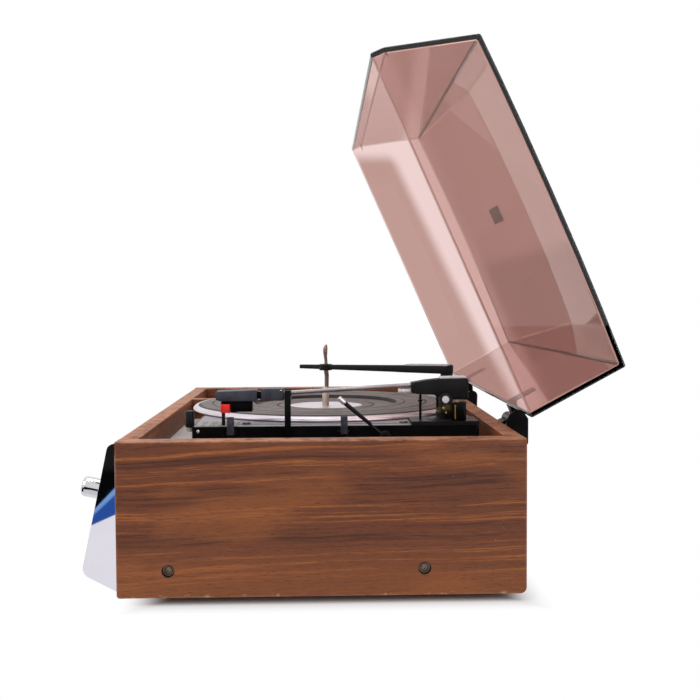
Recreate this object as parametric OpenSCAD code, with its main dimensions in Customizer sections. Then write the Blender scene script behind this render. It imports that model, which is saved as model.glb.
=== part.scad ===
// Compact stereo system: a walnut cabinet with a record changer, a storage bay, a sloped bright
// front with tuner controls, and a hinged smoked dust cover, drawn with the cover open.
// Millimetres, +Z up, front towards -Y. Z = 0 is the surface that the feet stand on.

/* [Cabinet] */
// Width over the side panels
cab_w = 548; // [540:1:580]
// Depth of the wooden cabinet
cab_d = 349; // [343:1:370]
// Height of the side panels
side_h = 133; // [126:1:150]
// Thickness of the side panels
side_t = 20; // [16:0.5:22]
// Thickness of the front and rear rails
rail_t = 16; // [13:0.5:18]
// Height of the front rail above the controls
front_rail_h = 31; // [28:0.5:34]
// Height of the front sill below the controls
front_sill_h = 20; // [12:1:24]
// Height of the rear rail
rear_rail_h = 82; // [70:1:88]
// Corner radius of the side panels
side_r = 2.5; // [1:0.5:5]
// Thickness of the bottom panel
bottom_t = 12; // [9:1:14]
// Thickness of the back panel
back_t = 4; // [3:0.5:6]
// How far the back panel sits in from the rear face
back_inset = 6; // [4:1:9]

/* [Feet and screws] */
// Height of the feet
foot_h = 7; // [5:0.5:12]
// Radius of the feet
foot_r = 10; // [8:0.5:14]
// Radius of the recess round each side screw
recess_r = 5.5; // [5:0.1:7]
// Depth of the recess
recess_deep = 8; // [6:0.5:10]
// Radius of the side screws' shank
screw_r = 2; // [1.5:0.1:2.5]

/* [Bays] */
// Thickness of the divider between the changer and the storage bay
divider_t = 12; // [9:0.5:15]
// Depth of the storage bay
bay_depth = 70; // [60:1:76]
// Thickness of the storage tray's floor and front
tray_t = 6; // [4:0.5:8]
// Drop of the motor board below the cabinet top
board_drop = 24; // [22:0.5:27]
// Thickness of the motor board
board_t = 6; // [4:0.5:6.5]

/* [Changer deck] */
// Width of the deck
deck_w = 308; // [304:1:312]
// Depth of the deck
deck_d = 261; // [254:1:264]
// Rise of the deck plate's top above the cabinet top
deck_rise = 5; // [4:0.5:7]
// Sheet thickness of the deck plate
deck_t = 1.8; // [1.2:0.1:2.4]
// Wall of the deck skirt
skirt_t = 2.5; // [2:0.1:3.5]
// Corner radius of the deck
deck_r = 4; // [4:0.5:16]
// Radius of the pressed well under the platter
well_r = 105; // [104.5:0.5:112]
// Depth of the well
well_deep = 14; // [13:0.5:16]

/* [Platter and drive] */
// Platter radius
platter_r = 140; // [136:0.5:142]
// Height of the platter's rim
rim_h = 5.7; // [5:0.1:6.5]
// Thickness of the platter's disc
disc_t = 1.6; // [1.2:0.1:2.2]
// Radius of the step in the rubber mat
mat_step_r = 76; // [68:1:84]
// Radius of the opening in the mat
mat_hole_r = 39; // [34:0.5:44]
// Radius of the centre spindle
spindle_r = 3.55; // [3.3:0.05:3.6]
// Height of the spindle above the platter's mat
spindle_h = 61; // [56:0.5:66]
// Inner radius of the drive ring under the platter
ring_r = 98; // [94:0.5:100]
// Radius of the idler wheel
idler_r = 24; // [20:0.5:26]
// Radius of the motor pulley
pulley_r = 5; // [4:0.25:7]

/* [Tonearm] */
// Height of the arm's pivot above the deck plate
pivot_h = 22.5; // [20:0.5:24]
// Length from the pivot to the front of the headshell
arm_len = 210; // [206:0.5:214]
// Radius of the arm tube
tube_r = 3.2; // [2.6:0.1:3.6]
// Length of the headshell
shell_len = 39; // [35:0.5:42]
// Width of the headshell
shell_w = 19; // [17:0.5:21]

/* [Overarm] */
// Height of the overarm's underside above the deck plate
over_h = 41.6; // [39:0.2:46]
// Thickness of the overarm at its post
over_t = 8; // [6:0.25:9]
// Thickness of the overarm at its tip
over_tip_t = 4; // [3:0.25:5]
// Radius of the overarm's shaft
over_shaft_r = 4; // [3:0.1:4.5]

/* [Front panel] */
// Tilt of the bright front from upright
tilt = 12.1; // [9:0.1:14]
// Radius of the roll at the top of the bright front
roll_r = 7; // [6:0.25:8]
// Radius of the nose at the bottom of the bright front
nose_r = 8.5; // [7:0.25:10]
// Wall of the bright front
bezel_t = 2; // [1.6:0.1:2.5]
// Height of the bright front
bezel_h = 127; // [124:0.5:129]
// Rise of the underside towards the nose
under_tilt = 28; // [24:0.5:32]
// Radius of the large knobs
knob_r = 9.2; // [8:0.1:10]
// How far the large knobs stand out
knob_out = 20; // [16:0.5:24]
// Width of the dial window
dial_w = 226; // [200:1:234]
// Height of the dial window
dial_h = 26; // [20:0.5:27]

/* [Dust cover] */
// Length of the cover along its rim
cover_d = 342; // [338:0.5:346]
// Gap from each side of the cabinet to the cover
cover_inset = 16; // [13:0.5:20]
// Height of the cover
cover_h = 93.4; // [90:0.5:100]
// Wall of the cover
cover_t = 3; // [2.4:0.1:3.6]
// Height of the upright band at the cover's front
band_h = 13; // [10:0.5:16]
// Set-back of the front at the top
front_back = 22.7; // [18:0.5:27]
// Set-back of the rear at the top
rear_back = 7; // [4:0.25:9]
// Gap under the closed cover's rim
rim_gap = 1; // [0.6:0.1:1.6]
// Angle that the cover stands open
open_angle = 66; // [55:0.5:70]

/* [Hinges] */
// Distance of each hinge from the middle
hinge_x = 148; // [120:1:170]
// Width of each hinge
hinge_w = 60; // [40:0.5:70]
// Width of each hinge leaf on the cover
leaf_w = 16; // [12:0.5:24]
// Radius of the knuckles
knuckle_r = 6.5; // [5.5:0.1:7]
// Radius of the hinge pin
pin_r = 3; // [2:0.1:3.5]
// Distance of the hinge pin behind the cabinet
pin_back = 13; // [12:0.25:16]

/* [Clearances] */
// Radial running clearance of shafts and pins
run = 0.05; // [0.03:0.01:0.08]
// Gap between pieces that pass each other
gap = 0.4; // [0.3:0.05:0.6]
// Radial clearance of fixed pieces in their holes
fit = 0.2; // [0.1:0.05:0.3]

/* [Hidden] */
$fn = 64;
eps = 0.01;

// Cabinet
zt = foot_h + side_h;
x_in = cab_w / 2 - side_t;
y_f = -cab_d / 2;
y_r = cab_d / 2;
y_fi = y_f + rail_t;
y_ri = y_r - rail_t;
z_in = foot_h + bottom_t;
screw_z = foot_h + 22.8;
screw_ys = [y_f + 43.5, y_r - 87.5];
screw_head_t = 3;
screw_len = 32;
cleat_w = 20;
cleat_h = 22;
foot_xy = [cab_w / 2 - 69, cab_d / 2 - 49];

// Changer deck, platter and divider, measured from the right-hand wall
deck_gap = 39;
deck_x1 = x_in - deck_gap;
deck_x0 = deck_x1 - deck_w;
deck_mid = 13;
deck_y0 = deck_mid - deck_d / 2;
deck_y1 = deck_mid + deck_d / 2;
deck_lip = 1.2;
divider_gap = 10;
x_div = deck_x0 - divider_gap;
z_board = zt - board_drop;
zd = zt + deck_rise;
skirt_z = z_board + 4;
xp = deck_x1 - 165.5;
yp = deck_mid - 8.8;
board_hole = [76, 108];
board_hole_r = 20;
mount_in = 22;
mount_xy = [[deck_x0 + mount_in, deck_y0 + mount_in], [deck_x0 + mount_in, deck_y1 - mount_in],
    [deck_x1 - mount_in, deck_y0 + mount_in + 26], [deck_x1 - mount_in, deck_y1 - mount_in - 46]];
mount_r = 8;
bolt_r = 2;

// Platter, mat and drive
under_gap = 0.6;
z_disc = zd + under_gap + disc_t;
z_rim = zd + under_gap + rim_h;
rim_t = 3.2;
mat_r = platter_r - rim_t - gap;
mat_drop = 1.6;
bearing_r = 6;
flange_r = 13;
flange_t = 2.6;
hub_r = 14;
z_well = zd - well_deep + deck_t;
z_flange = z_well + flange_t;
ring_t = 3;
ring_z = z_well + 3;
shelf_z = z_rim + 16;
shank_r = spindle_r - 0.5;
blade_r = spindle_r * 0.62;
idler_turn = 150;
idler_xy = [xp + (ring_r - idler_r - gap) * cos(idler_turn), yp + (ring_r - idler_r - gap) * sin(idler_turn)];
idler_t = 5;
idler_z = z_well + 3.5;
idler_pin_r = 3;
pulley_turn = 250;
pulley_xy = idler_xy + (idler_r + pulley_r + gap) * [cos(pulley_turn), sin(pulley_turn)];
motor_shaft_r = 1.6;
motor_r = 30;
motor_h = 38;
motor_gap = 3;
motor_clear = 3;

// Tonearm
xa = deck_x1 - 20;
ya = deck_y1 - 30.2;
base_x0 = xa - 19;
base_len = 62;
base_t = 3.4;
base_in = 0.6;
za = zd + pivot_h;
column_r = 8;
column_h = 10;
swing_r = 4;
cheek_x = 10;
cheek_t = 2.5;
cheek_y = 6;
pivot_r = 1.5;
block_w = 15;
tube_tilt = 2.2;
tube_y0 = ya - arm_len + shell_len + 2;
collar_len = 21;
tube_y1 = ya - 30;
tube_z0 = za + 7;
shell_y0 = ya - arm_len;
shell_z0 = za - 0.5;
shell_z1 = za + 9.6;
shell_wall = 1.6;
cart_w = 14;
cart_len = 28.5;
cart_y0 = shell_y0 + 4.6;
cart_z0 = za - 10.4;
stylus_drop = 2.4;
strip_t = 1.8;
strip_w = 10;
stub_r = 2;
stub_z = 7.2;
stub_len = 11.6;
rest_y = tube_y0 + collar_len + 4;
rest_w = 5.6;
rest_t = 3;
rest_bar = 5;
rest_hook = 6;
rod_y = ya - 22;
rod_r = 1.2;

// Overarm
sleeve_r = 6.5;
sleeve_foot = 10;
post_x = 93;
over_run = platter_r + sleeve_foot + gap;
xo = xp + post_x;
yo = yp + sqrt(over_run * over_run - post_x * post_x);
zo = zd + over_h;
collar_t = 4;
sleeve_h = over_h - collar_t;
over_pass = 11.5;
over_tip = 22;
over_wide = 44;
over_neck = 60;
over_strip = 1.2;
over_boss = 30;
over_boss_r = 7;
over_tip_r = 3.2;
over_dir = atan2(yp - yo, xp - xo) + asin(over_pass / over_run);
over_len = sqrt(over_run * over_run - over_pass * over_pass) + over_tip;

// Deck controls
cue_y = deck_y1 - 86.5;
cue_z = zt - 4;
cue_pin_r = 2.5;
cue_x0 = deck_x1 + 5;
cue_w = 5;
cue_slope = 50;
cue_len = 54.6;
cue_rod_r = 0.9;
cue_sleeve_r = 2;
cue_sleeve = 30.6;
cue_tip_r = 2.4;
cue_tip = 7.4;
tab_x = deck_x1 + 2;
tab_t = 3;
tab_w = 6.3;
tab_ys = [deck_y0 + 35.4, deck_y0 + 137.6];
tab_travel = 4;
slot_z = zt - 2;
slot_h = 4;
reject_xy = [deck_x1 - 8, deck_y0 + 28.1];
reject_w = [2.6, 3];
reject_travel = 4;
reject_cap = [8.4, 8.2, 7.4];
reject_lead = 2.2;
reject_rise = 12.1;
reject_foot = 0.8;
plate_xy = [deck_x1 - 39, deck_y0 + 4.5];
plate_size = [36, 36, 0.5];
speed_r = 4.3;
speed_out = speed_r + gap;
speed_xy = [deck_x1 - 25, deck_y0 - speed_out];
speed_travel = 5;
speed_top = 19.2;

// Bright front: a roll at the top, a sloped face, a nose and an underside
bez_top = 1;
n_face = [cos(tilt), -sin(tilt)];
n_under = [sin(under_tilt), cos(under_tilt)];
function cross_at(a, b) = [(a * cos(under_tilt) + b * sin(tilt)) / cos(tilt - under_tilt),
    (b * cos(tilt) - a * sin(under_tilt)) / cos(tilt - under_tilt)];
face_start = [roll_r, bez_top + roll_r];
under_end = [0, bezel_h];
nose_c = cross_at(n_face * face_start - nose_r, n_under * under_end - nose_r);
function face_out(h) = roll_r + (h - bez_top - roll_r) * tan(tilt);
row1_h = 47;
row2_h = 88;
cap_t = 3;
tuning_x = cab_w / 2 - 36;
dial_x = tuning_x - 32 - dial_w / 2;
dial_lap = 5;
dial_glass_t = 2;
dial_space = 6;
scale_t = 1.5;
small_knob_r = 7.5;
small_knob_out = 14;
row2_x0 = cab_w / 2 - 134;
row2_step = 44;
function_x = dial_x - dial_w / 2 - 34;
shaft_r = 3;
pot_r = 9;
pot_len = 11;
knob_gap = 1;
pointer_w = 2;

// Dust cover and hinge line
cover_w = cab_w - 2 * cover_inset;
hinge_y = y_r + pin_back;
hinge_z = zt;
cover_y1 = y_r - 3.5;
cover_y0 = cover_y1 - cover_d;
cover_z = zt + rim_gap;
cover_top = cover_z + cover_h;
leaf_t = 2;
leaf_h = 30;
arm_rise = 9;
block_plate = 5;
block_h = 19;
block_draft = 0.8;

// Rear panel fittings
socket_step = 25;
socket_x0 = -x_in + 39;
socket_xs = [for (i = [0 : 3]) socket_x0 + i * socket_step];
vent_x = x_in - 144;
socket_z = z_in + (zt - rear_rail_h - z_in) / 2;
socket_r = 4;
socket_flange = 6.5;
inlet_x = -x_in + 194;
inlet_w = 26;
inlet_h = 17;

// Electronics
chassis_x0 = -x_in + cleat_w + 2;
chassis_w = 2 * (x_in - cleat_w - 2);
chassis_y0 = y_fi + 2;
chassis_d = 96;
chassis_t = 1.2;
chassis_lip = 14;
pcb_short = 254;
pcb_size = [chassis_w - pcb_short, 70, 1.6];
pcb_up = 8;
pcb_x = chassis_x0 + 37 + pcb_size[0] / 2;
sink_w = 60;
sink_d = 44;
sink_t = 3;
fin_t = 2;
fin_h = 24;
sink_x = pcb_x + pcb_size[0] / 2 + 25 + sink_w / 2;
core_x = x_in - 79;
core_size = [46, 60, 40];

// Knobs as place along the front and drop below the cabinet top
knob_list = [[tuning_x, row1_h], [row2_x0, row2_h], [row2_x0 - row2_step, row2_h],
    [row2_x0 - 2 * row2_step, row2_h], [row2_x0 - 3 * row2_step, row2_h], [function_x, row1_h]];

// Rings pressed into the mat, as radius and width
mat_rings = [[84, 1.2], [94, 1.2], [104, 1.2], [114, 1.2], [124, 1.6], [50, 1.2], [60, 1.2]];
screw_cap_h = 1.6;

// The origin is the middle of the standing object's box on the floor
rear_reach = hinge_y + (cover_y1 - rear_back - hinge_y) * cos(open_angle)
    + (cover_top - hinge_z) * sin(open_angle);
front_reach = y_f - max(face_out(row1_h) + (knob_out + knob_gap) * cos(tilt) + knob_r * sin(tilt),
    face_out(row2_h) + (small_knob_out + knob_gap) * cos(tilt) + small_knob_r * sin(tilt));
frame_y = -(rear_reach + front_reach) / 2;

// Shared shapes

module rounded(w, d, r) {
    square([w - 2 * r, d], center = true);
    square([w, d - 2 * r], center = true);
    for (sx = [-1, 1], sy = [-1, 1]) {
        translate([sx * (w / 2 - r), sy * (d / 2 - r)]) circle(r);
    }
}

module slot_row(n, step, len, w, deep) {
    for (i = [0 : n - 1]) {
        translate([(i - (n - 1) / 2) * step - w / 2, -len / 2, -deep / 2]) cube([w, len, deep]);
    }
}

module ring(ro, ri, h) {
    difference() {
        cylinder(r = ro, h = h);
        translate([0, 0, -1]) cylinder(r = ri, h = h + 2);
    }
}

// A YZ outline pushed along X from x0 to x1
module along_x(x0, x1) {
    translate([x0, 0, 0]) rotate([90, 0, 90]) linear_extrude(x1 - x0) children();
}

// Places children on the sloped face, at x and h below the cabinet top, facing out along +Z
module on_face(x, h) {
    translate([x, y_f - face_out(h), zt - h]) rotate([90 - tilt, 0, 0]) children();
}

// Opens the children of a closed cover
module opened() {
    translate([0, hinge_y, hinge_z]) rotate([-open_angle, 0, 0])
        translate([0, -hinge_y, -hinge_z]) children();
}

// Cabinet

module side_panel(s) {
    difference() {
        translate([0, 0, foot_h + side_h / 2])
            along_x(s > 0 ? x_in : -cab_w / 2, s > 0 ? cab_w / 2 : -x_in) rounded(cab_d, side_h, side_r);
        for (y = screw_ys) {
            translate([s * (cab_w / 2 + 1), y, screw_z]) rotate([0, -s * 90, 0]) {
                cylinder(r = recess_r, h = recess_deep + 1);
                cylinder(r = screw_r + fit, h = side_t + 2);
            }
        }
    }
}

module side_right() {
    color("sienna") side_panel(1);
}

module side_left() {
    color("sienna") side_panel(-1);
}

module front_rails() {
    color("sienna") {
        translate([-x_in, y_f, zt - front_rail_h]) cube([2 * x_in, rail_t, front_rail_h]);
        translate([-x_in, y_f, foot_h]) cube([2 * x_in, rail_t, front_sill_h]);
    }
}

module rear_rail() {
    color("sienna") translate([-x_in, y_ri, zt - rear_rail_h]) cube([2 * x_in, rail_t, rear_rail_h]);
}

module bottom_panel() {
    color("burlywood") difference() {
        union() {
            translate([-x_in, y_fi, foot_h]) cube([2 * x_in, y_r - y_fi, bottom_t]);
            for (s = [-1, 1]) {
                translate([s > 0 ? x_in - cleat_w : -x_in, y_fi, z_in - eps])
                    cube([cleat_w, y_r - back_inset - back_t - y_fi, cleat_h + eps]);
            }
        }
        for (s = [-1, 1], y = screw_ys) {
            translate([s * (x_in + 1), y, screw_z]) rotate([0, -s * 90, 0])
                cylinder(r = screw_r + fit, h = screw_len - side_t + recess_deep + 3);
        }
        translate([0, 60, foot_h + bottom_t / 2]) slot_row(9, 16, 60, 5, bottom_t + 2);
    }
}

module back_panel() {
    zh = zt - rear_rail_h - z_in;
    color("saddlebrown") difference() {
        translate([-x_in, y_r - back_inset - back_t, z_in]) cube([2 * x_in, back_t, zh]);
        translate([vent_x, y_r - back_inset - back_t / 2, z_in + zh / 2])
            rotate([90, 0, 0]) slot_row(14, 12, zh - 14, 5, back_t + 2);
        for (x = socket_xs) {
            translate([x, y_r - back_inset + 1, socket_z]) rotate([90, 0, 0])
                cylinder(r = socket_r + fit, h = back_t + 2);
        }
        translate([inlet_x - inlet_w / 2 - fit, y_r - back_inset - back_t - 1, socket_z - inlet_h / 2 - fit])
            cube([inlet_w + 2 * fit, back_t + 2, inlet_h + 2 * fit]);
    }
}

module rear_sockets() {
    yb = y_r - back_inset;
    color("dimgray") {
        for (x = socket_xs) {
            translate([x, yb, socket_z]) rotate([-90, 0, 0]) difference() {
                union() {
                    translate([0, 0, -back_t - 6]) cylinder(r = socket_r, h = back_t + 6.5);
                    cylinder(r = socket_flange, h = 1.6);
                    cylinder(r = socket_r, h = 9);
                }
                translate([0, 0, -2]) cylinder(r = socket_r - 1.6, h = 12);
            }
        }
        translate([inlet_x, yb, socket_z]) difference() {
            union() {
                translate([-inlet_w / 2, -back_t - 10, -inlet_h / 2]) cube([inlet_w, back_t + 10.5, inlet_h]);
                translate([-inlet_w / 2 - 4, 0, -inlet_h / 2 - 3]) cube([inlet_w + 8, 2.5, inlet_h + 6]);
            }
            translate([-inlet_w / 2 + 2, -back_t - 6, -inlet_h / 2 + 2]) cube([inlet_w - 4, 20, inlet_h - 4]);
        }
    }
}

module feet() {
    color("black") for (sx = [-1, 1], sy = [-1, 1]) {
        translate([sx * foot_xy[0], sy * foot_xy[1], 0]) difference() {
            rotate_extrude() polygon([[0, 0], [foot_r - 1.5, 0], [foot_r - 0.6, 1],
                [foot_r, foot_h], [0, foot_h]]);
            translate([0, 0, -1]) cylinder(r = foot_r * 0.38, h = foot_h * 0.55);
        }
    }
}

module side_screws() {
    color("saddlebrown") for (s = [-1, 1], y = screw_ys) {
        translate([s * (cab_w / 2 - recess_deep), y, screw_z]) rotate([0, s * 90, 0]) difference() {
            union() {
                translate([0, 0, -screw_len]) cylinder(r = screw_r, h = screw_len + eps);
                cylinder(r1 = recess_r - 0.8, r2 = recess_r - 1.6, h = screw_head_t);
            }
            for (a = [0, 90]) {
                rotate([0, 0, a]) translate([-2.8, -0.5, screw_head_t - 1.3]) cube([5.6, 1, 2]);
            }
        }
    }
}

module divider() {
    color("sienna") translate([x_div - divider_t, y_fi, zt - bay_depth])
        cube([divider_t, y_ri - y_fi, bay_depth]);
}

module storage_tray() {
    color("saddlebrown") union() {
        translate([-x_in, y_fi, zt - bay_depth - tray_t]) cube([x_in + x_div, y_ri - y_fi, tray_t]);
        translate([-x_in, y_fi, zt - bay_depth - eps])
            cube([x_in + x_div - divider_t, tray_t, bay_depth - front_rail_h + 6 + eps]);
    }
}

module motor_board() {
    mx = (deck_x0 + deck_x1) / 2;
    color("gainsboro") difference() {
        translate([x_div, y_fi, z_board - board_t]) cube([x_in - x_div, y_ri - y_fi, board_t]);
        translate([mx, deck_mid, z_board - board_t - 1]) linear_extrude(board_t + 2)
            rounded(deck_w - board_hole[0], deck_d - board_hole[1], board_hole_r);
        translate([pulley_xy[0], pulley_xy[1], z_board - board_t - 1])
            cylinder(r = motor_r + motor_clear, h = board_t + 2);
        for (p = mount_xy) {
            translate([p[0], p[1], z_board - board_t - 1]) cylinder(r = bolt_r + 1, h = board_t + 2);
        }
    }
}

// Bright front and tuner controls

// Outline of the bright front, drawn in by o all round, with x out from the wood and y down
module bezel_outline(o) {
    c = nose_c;
    a = [roll_r - o / cos(tilt), bez_top + roll_r];
    b = [0, bezel_h - o / cos(under_tilt)];
    t1 = c + (nose_r - o) * n_face;
    t2 = c + (nose_r - o) * n_under;
    polygon([[0, bez_top + roll_r], a, t1, c, t2, b]);
    translate(c) circle(nose_r - o);
    intersection() {
        translate([0, bez_top + roll_r]) circle(roll_r - o);
        translate([0, bez_top]) square([roll_r, roll_r + eps]);
    }
}

module front_bezel() {
    color("silver") difference() {
        bezel_shape(0, cab_w / 2);
        bezel_shape(bezel_t, cab_w / 2 - cap_t);
        for (k = knob_list) {
            on_face(k[0], k[1]) translate([0, 0, -bezel_t - 6]) cylinder(r = shaft_r + gap, h = bezel_t + 12);
        }
        on_face(dial_x, row1_h) translate([-dial_w / 2, -dial_h / 2, -bezel_t - 4])
            cube([dial_w, dial_h, bezel_t + 8]);
    }
}

// The outline pushed along X, symmetric about the middle
module bezel_shape(o, x) {
    along_x(-x, x) translate([y_f, zt]) mirror([1, 0]) mirror([0, 1]) bezel_outline(o);
}

module dial_window() {
    color([0.7, 0.8, 0.85, 0.5]) on_face(dial_x, row1_h)
        translate([-dial_w / 2 - dial_lap, -dial_h / 2 - dial_lap, -bezel_t - dial_glass_t])
        cube([dial_w + 2 * dial_lap, dial_h + 2 * dial_lap, dial_glass_t]);
}

module dial_scale() {
    zs = -bezel_t - dial_glass_t - dial_space - scale_t;
    color("black") on_face(dial_x, row1_h) {
        translate([-dial_w / 2 - dial_lap, -dial_h / 2, zs]) cube([dial_w + 2 * dial_lap, dial_h, scale_t]);
        for (s = [-1, 1]) {
            translate([s * (dial_w / 2 + dial_lap / 2) - dial_lap / 2, -dial_h / 2, zs])
                cube([dial_lap, dial_h, scale_t + dial_space]);
        }
    }
}

module dial_pointer() {
    zs = -bezel_t - dial_glass_t - dial_space;
    color("red") on_face(dial_x, row1_h) {
        translate([-pointer_w / 2, -dial_h / 2 + 2, zs + gap]) cube([pointer_w, dial_h + 1, 1.6]);
        translate([-5, dial_h / 2 + gap, zs - scale_t - 2]) cube([10, 3, scale_t + gap + 3.6]);
    }
}

module knob(i, r, out) {
    k = knob_list[i];
    on_face(k[0], k[1]) difference() {
        union() {
            rotate_extrude() polygon([[0, -bezel_t - pot_len + 2], [shaft_r, -bezel_t - pot_len + 2],
                [shaft_r, knob_gap], [r, knob_gap], [r, knob_gap + 3], [r - 0.6, knob_gap + 3.6],
                [r - 0.6, knob_gap + out - 1.6], [r - 2.2, knob_gap + out], [0, knob_gap + out]]);
        }
        for (a = [0 : 20 : 340]) {
            rotate([0, 0, a]) translate([r + 0.2, 0, knob_gap + 5])
                cylinder(r = 1.2, h = out - 7.5, $fn = 16);
        }
        translate([-0.6, r * 0.35, knob_gap + out - 0.7]) cube([1.2, r * 0.5, 2]);
    }
}

module tuning_knob() {
    color("silver") knob(0, knob_r, knob_out);
}

module volume_knob() {
    color("silver") knob(1, small_knob_r, small_knob_out);
}

module balance_knob() {
    color("silver") knob(2, small_knob_r, small_knob_out);
}

module bass_knob() {
    color("silver") knob(3, small_knob_r, small_knob_out);
}

module treble_knob() {
    color("silver") knob(4, small_knob_r, small_knob_out);
}

module function_knob() {
    color("silver") knob(5, small_knob_r, small_knob_out);
}

module control_pots() {
    color("slategray") for (k = knob_list) {
        on_face(k[0], k[1]) translate([0, 0, -bezel_t - pot_len]) difference() {
            cylinder(r = pot_r, h = pot_len);
            translate([0, 0, 1.5]) cylinder(r = shaft_r + run, h = pot_len);
        }
    }
}

// Electronics on the bottom panel

module chassis() {
    color("lightgray") union() {
        difference() {
            translate([chassis_x0, chassis_y0, z_in]) cube([chassis_w, chassis_d, chassis_lip]);
            translate([chassis_x0 - 1, chassis_y0 + chassis_t, z_in + chassis_t])
                cube([chassis_w + 2, chassis_d - 2 * chassis_t, chassis_lip]);
        }
        for (sx = [-1, 1], sy = [-1, 1]) {
            translate([pcb_x, chassis_y0 + chassis_d / 2, z_in + chassis_t - eps])
                translate([sx * (pcb_size[0] / 2 - 6), sy * (pcb_size[1] / 2 - 6), 0])
                cylinder(r = 3, h = pcb_up + eps);
        }
    }
}

module circuit_board() {
    zp = z_in + chassis_t + pcb_up;
    color("peru") translate([pcb_x, chassis_y0 + chassis_d / 2, zp]) union() {
        translate([-pcb_size[0] / 2, -pcb_size[1] / 2, 0]) cube(pcb_size);
        for (i = [0 : 2]) {
            translate([-pcb_size[0] / 2 + 35 + i * 30, 15, pcb_size[2] - eps])
                cylinder(r = 9 - i * 1.5, h = 26 - i * 5);
        }
        for (i = [0 : 3]) {
            translate([pcb_size[0] / 2 - 75 + i * 16, -8, pcb_size[2] - eps]) cube([10, 12, 12]);
        }
    }
}

module heat_sink() {
    color("dimgray") translate([sink_x - sink_w / 2, chassis_y0 + 20, z_in + chassis_t]) union() {
        cube([sink_w, sink_d, sink_t]);
        for (i = [0 : 7]) {
            translate([i * (sink_w - fin_t) / 7, 0, sink_t - eps]) cube([fin_t, sink_d, fin_h]);
        }
    }
}

module power_transformer() {
    color("gray") translate([core_x, chassis_y0 + chassis_d / 2, z_in + chassis_t]) union() {
        translate([-core_size[0] / 2, -core_size[1] / 2, 3]) cube(core_size);
        translate([-core_size[0] / 2 - 8, -core_size[1] / 2, 0])
            cube([core_size[0] + 16, core_size[1], 3 + eps]);
        translate([-core_size[0] / 2 - 9, 0, 3 + core_size[2] / 2]) rotate([0, 90, 0])
            linear_extrude(core_size[0] + 18) rounded(28, 46, 8);
    }
}

// Record changer deck

module deck_outline(o) {
    translate([(deck_x0 + deck_x1) / 2, (deck_y0 + deck_y1) / 2])
        rounded(deck_w - 2 * o, deck_d - 2 * o, deck_r - o);
}

module deck_skirt() {
    color("black") union() {
        difference() {
            translate([0, 0, skirt_z]) linear_extrude(zd - skirt_z) deck_outline(0);
            translate([0, 0, skirt_z - 1]) linear_extrude(zd - skirt_z + 2) deck_outline(skirt_t);
            translate([0, 0, zd - deck_t]) linear_extrude(deck_t + 1) deck_outline(deck_lip);
            for (y = tab_ys) {
                translate([deck_x1 - skirt_t - 1, y - tab_travel - 2 - gap, slot_z])
                    cube([skirt_t + 2, 2 * (tab_travel + 2 + gap), slot_h]);
            }
            translate([speed_xy[0] - speed_travel - 2 - gap, deck_y0 - 1, slot_z])
                cube([2 * (speed_travel + 2 + gap), skirt_t + 2, slot_h]);
        }
        translate([deck_x1 - eps, cue_y, cue_z]) rotate([0, 90, 0]) {
            cylinder(r = cue_pin_r + 2.5, h = cue_x0 - deck_x1 + eps);
            cylinder(r = cue_pin_r, h = cue_x0 - deck_x1 + cue_w + 1);
        }
    }
}

module deck_plate() {
    color("silver") difference() {
        union() {
            translate([0, 0, zd - deck_t]) linear_extrude(deck_t) deck_outline(deck_lip + fit);
            translate([xp, yp, zd - well_deep]) cylinder(r = well_r, h = well_deep, $fn = 128);
            translate([idler_xy[0], idler_xy[1], z_well - eps]) cylinder(r = idler_pin_r, h = 1);
        }
        difference() {
            translate([xp, yp, z_well]) cylinder(r = well_r - deck_t, h = well_deep, $fn = 128);
            translate([idler_xy[0], idler_xy[1], z_well - 1]) {
                cylinder(r = idler_pin_r, h = idler_t + 5.5);
                cylinder(r = idler_pin_r + 2, h = idler_z - z_well + 1 - gap);
            }
        }
        translate([xp, yp, zd - well_deep - 1]) cylinder(r = bearing_r + fit, h = well_deep);
        translate([pulley_xy[0], pulley_xy[1], zd - well_deep - 1]) cylinder(r = pulley_r + 2, h = well_deep);
        translate([xa, ya, zd - deck_t - 1]) cylinder(r = swing_r + 1, h = deck_t + 2);
        translate([xa, rod_y, zd - deck_t - 1]) cylinder(r = rod_r + run, h = deck_t + 2);
        translate([xo, yo, zd - deck_t - 1]) cylinder(r = over_shaft_r + 1, h = deck_t + 2);
        for (p = mount_xy) {
            translate([p[0], p[1], zd - deck_t - 1]) cylinder(r = bolt_r + fit, h = deck_t + 2);
        }
        lever_slot(deck_t + 2, zd - deck_t - 1);
    }
}

module lever_slot(h, z) {
    translate([reject_xy[0] - reject_w[0] / 2 - gap, reject_xy[1] - reject_w[1] / 2 - reject_travel - gap, z])
        cube([reject_w[0] + 2 * gap, reject_w[1] + 2 * (reject_travel + gap), h]);
}

module deck_mounts() {
    color("black") for (p = mount_xy) {
        translate([p[0], p[1], z_board]) difference() {
            rotate_extrude() polygon([[0, 0], [mount_r, 0], [mount_r, 5], [mount_r - 2, 8],
                [mount_r - 2, zd - deck_t - z_board - 8], [mount_r, zd - deck_t - z_board - 5],
                [mount_r, zd - deck_t - z_board], [0, zd - deck_t - z_board]]);
            translate([0, 0, -1]) cylinder(r = bolt_r + fit, h = zd - z_board + 2);
        }
    }
}

module transit_screws() {
    color("silver") for (p = mount_xy) {
        translate([p[0], p[1], 0]) difference() {
            union() {
                translate([0, 0, z_board - board_t - 6])
                    cylinder(r = bolt_r, h = zd - z_board + board_t + 6 + eps);
                translate([0, 0, zd]) cylinder(r1 = 4.6, r2 = 3.8, h = screw_cap_h);
                translate([0, 0, z_board - board_t - 4]) cylinder(r = 5, h = 4);
            }
            translate([-5, -0.6, zd + screw_cap_h - 0.5]) cube([10, 1.2, 2]);
        }
    }
}

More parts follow.
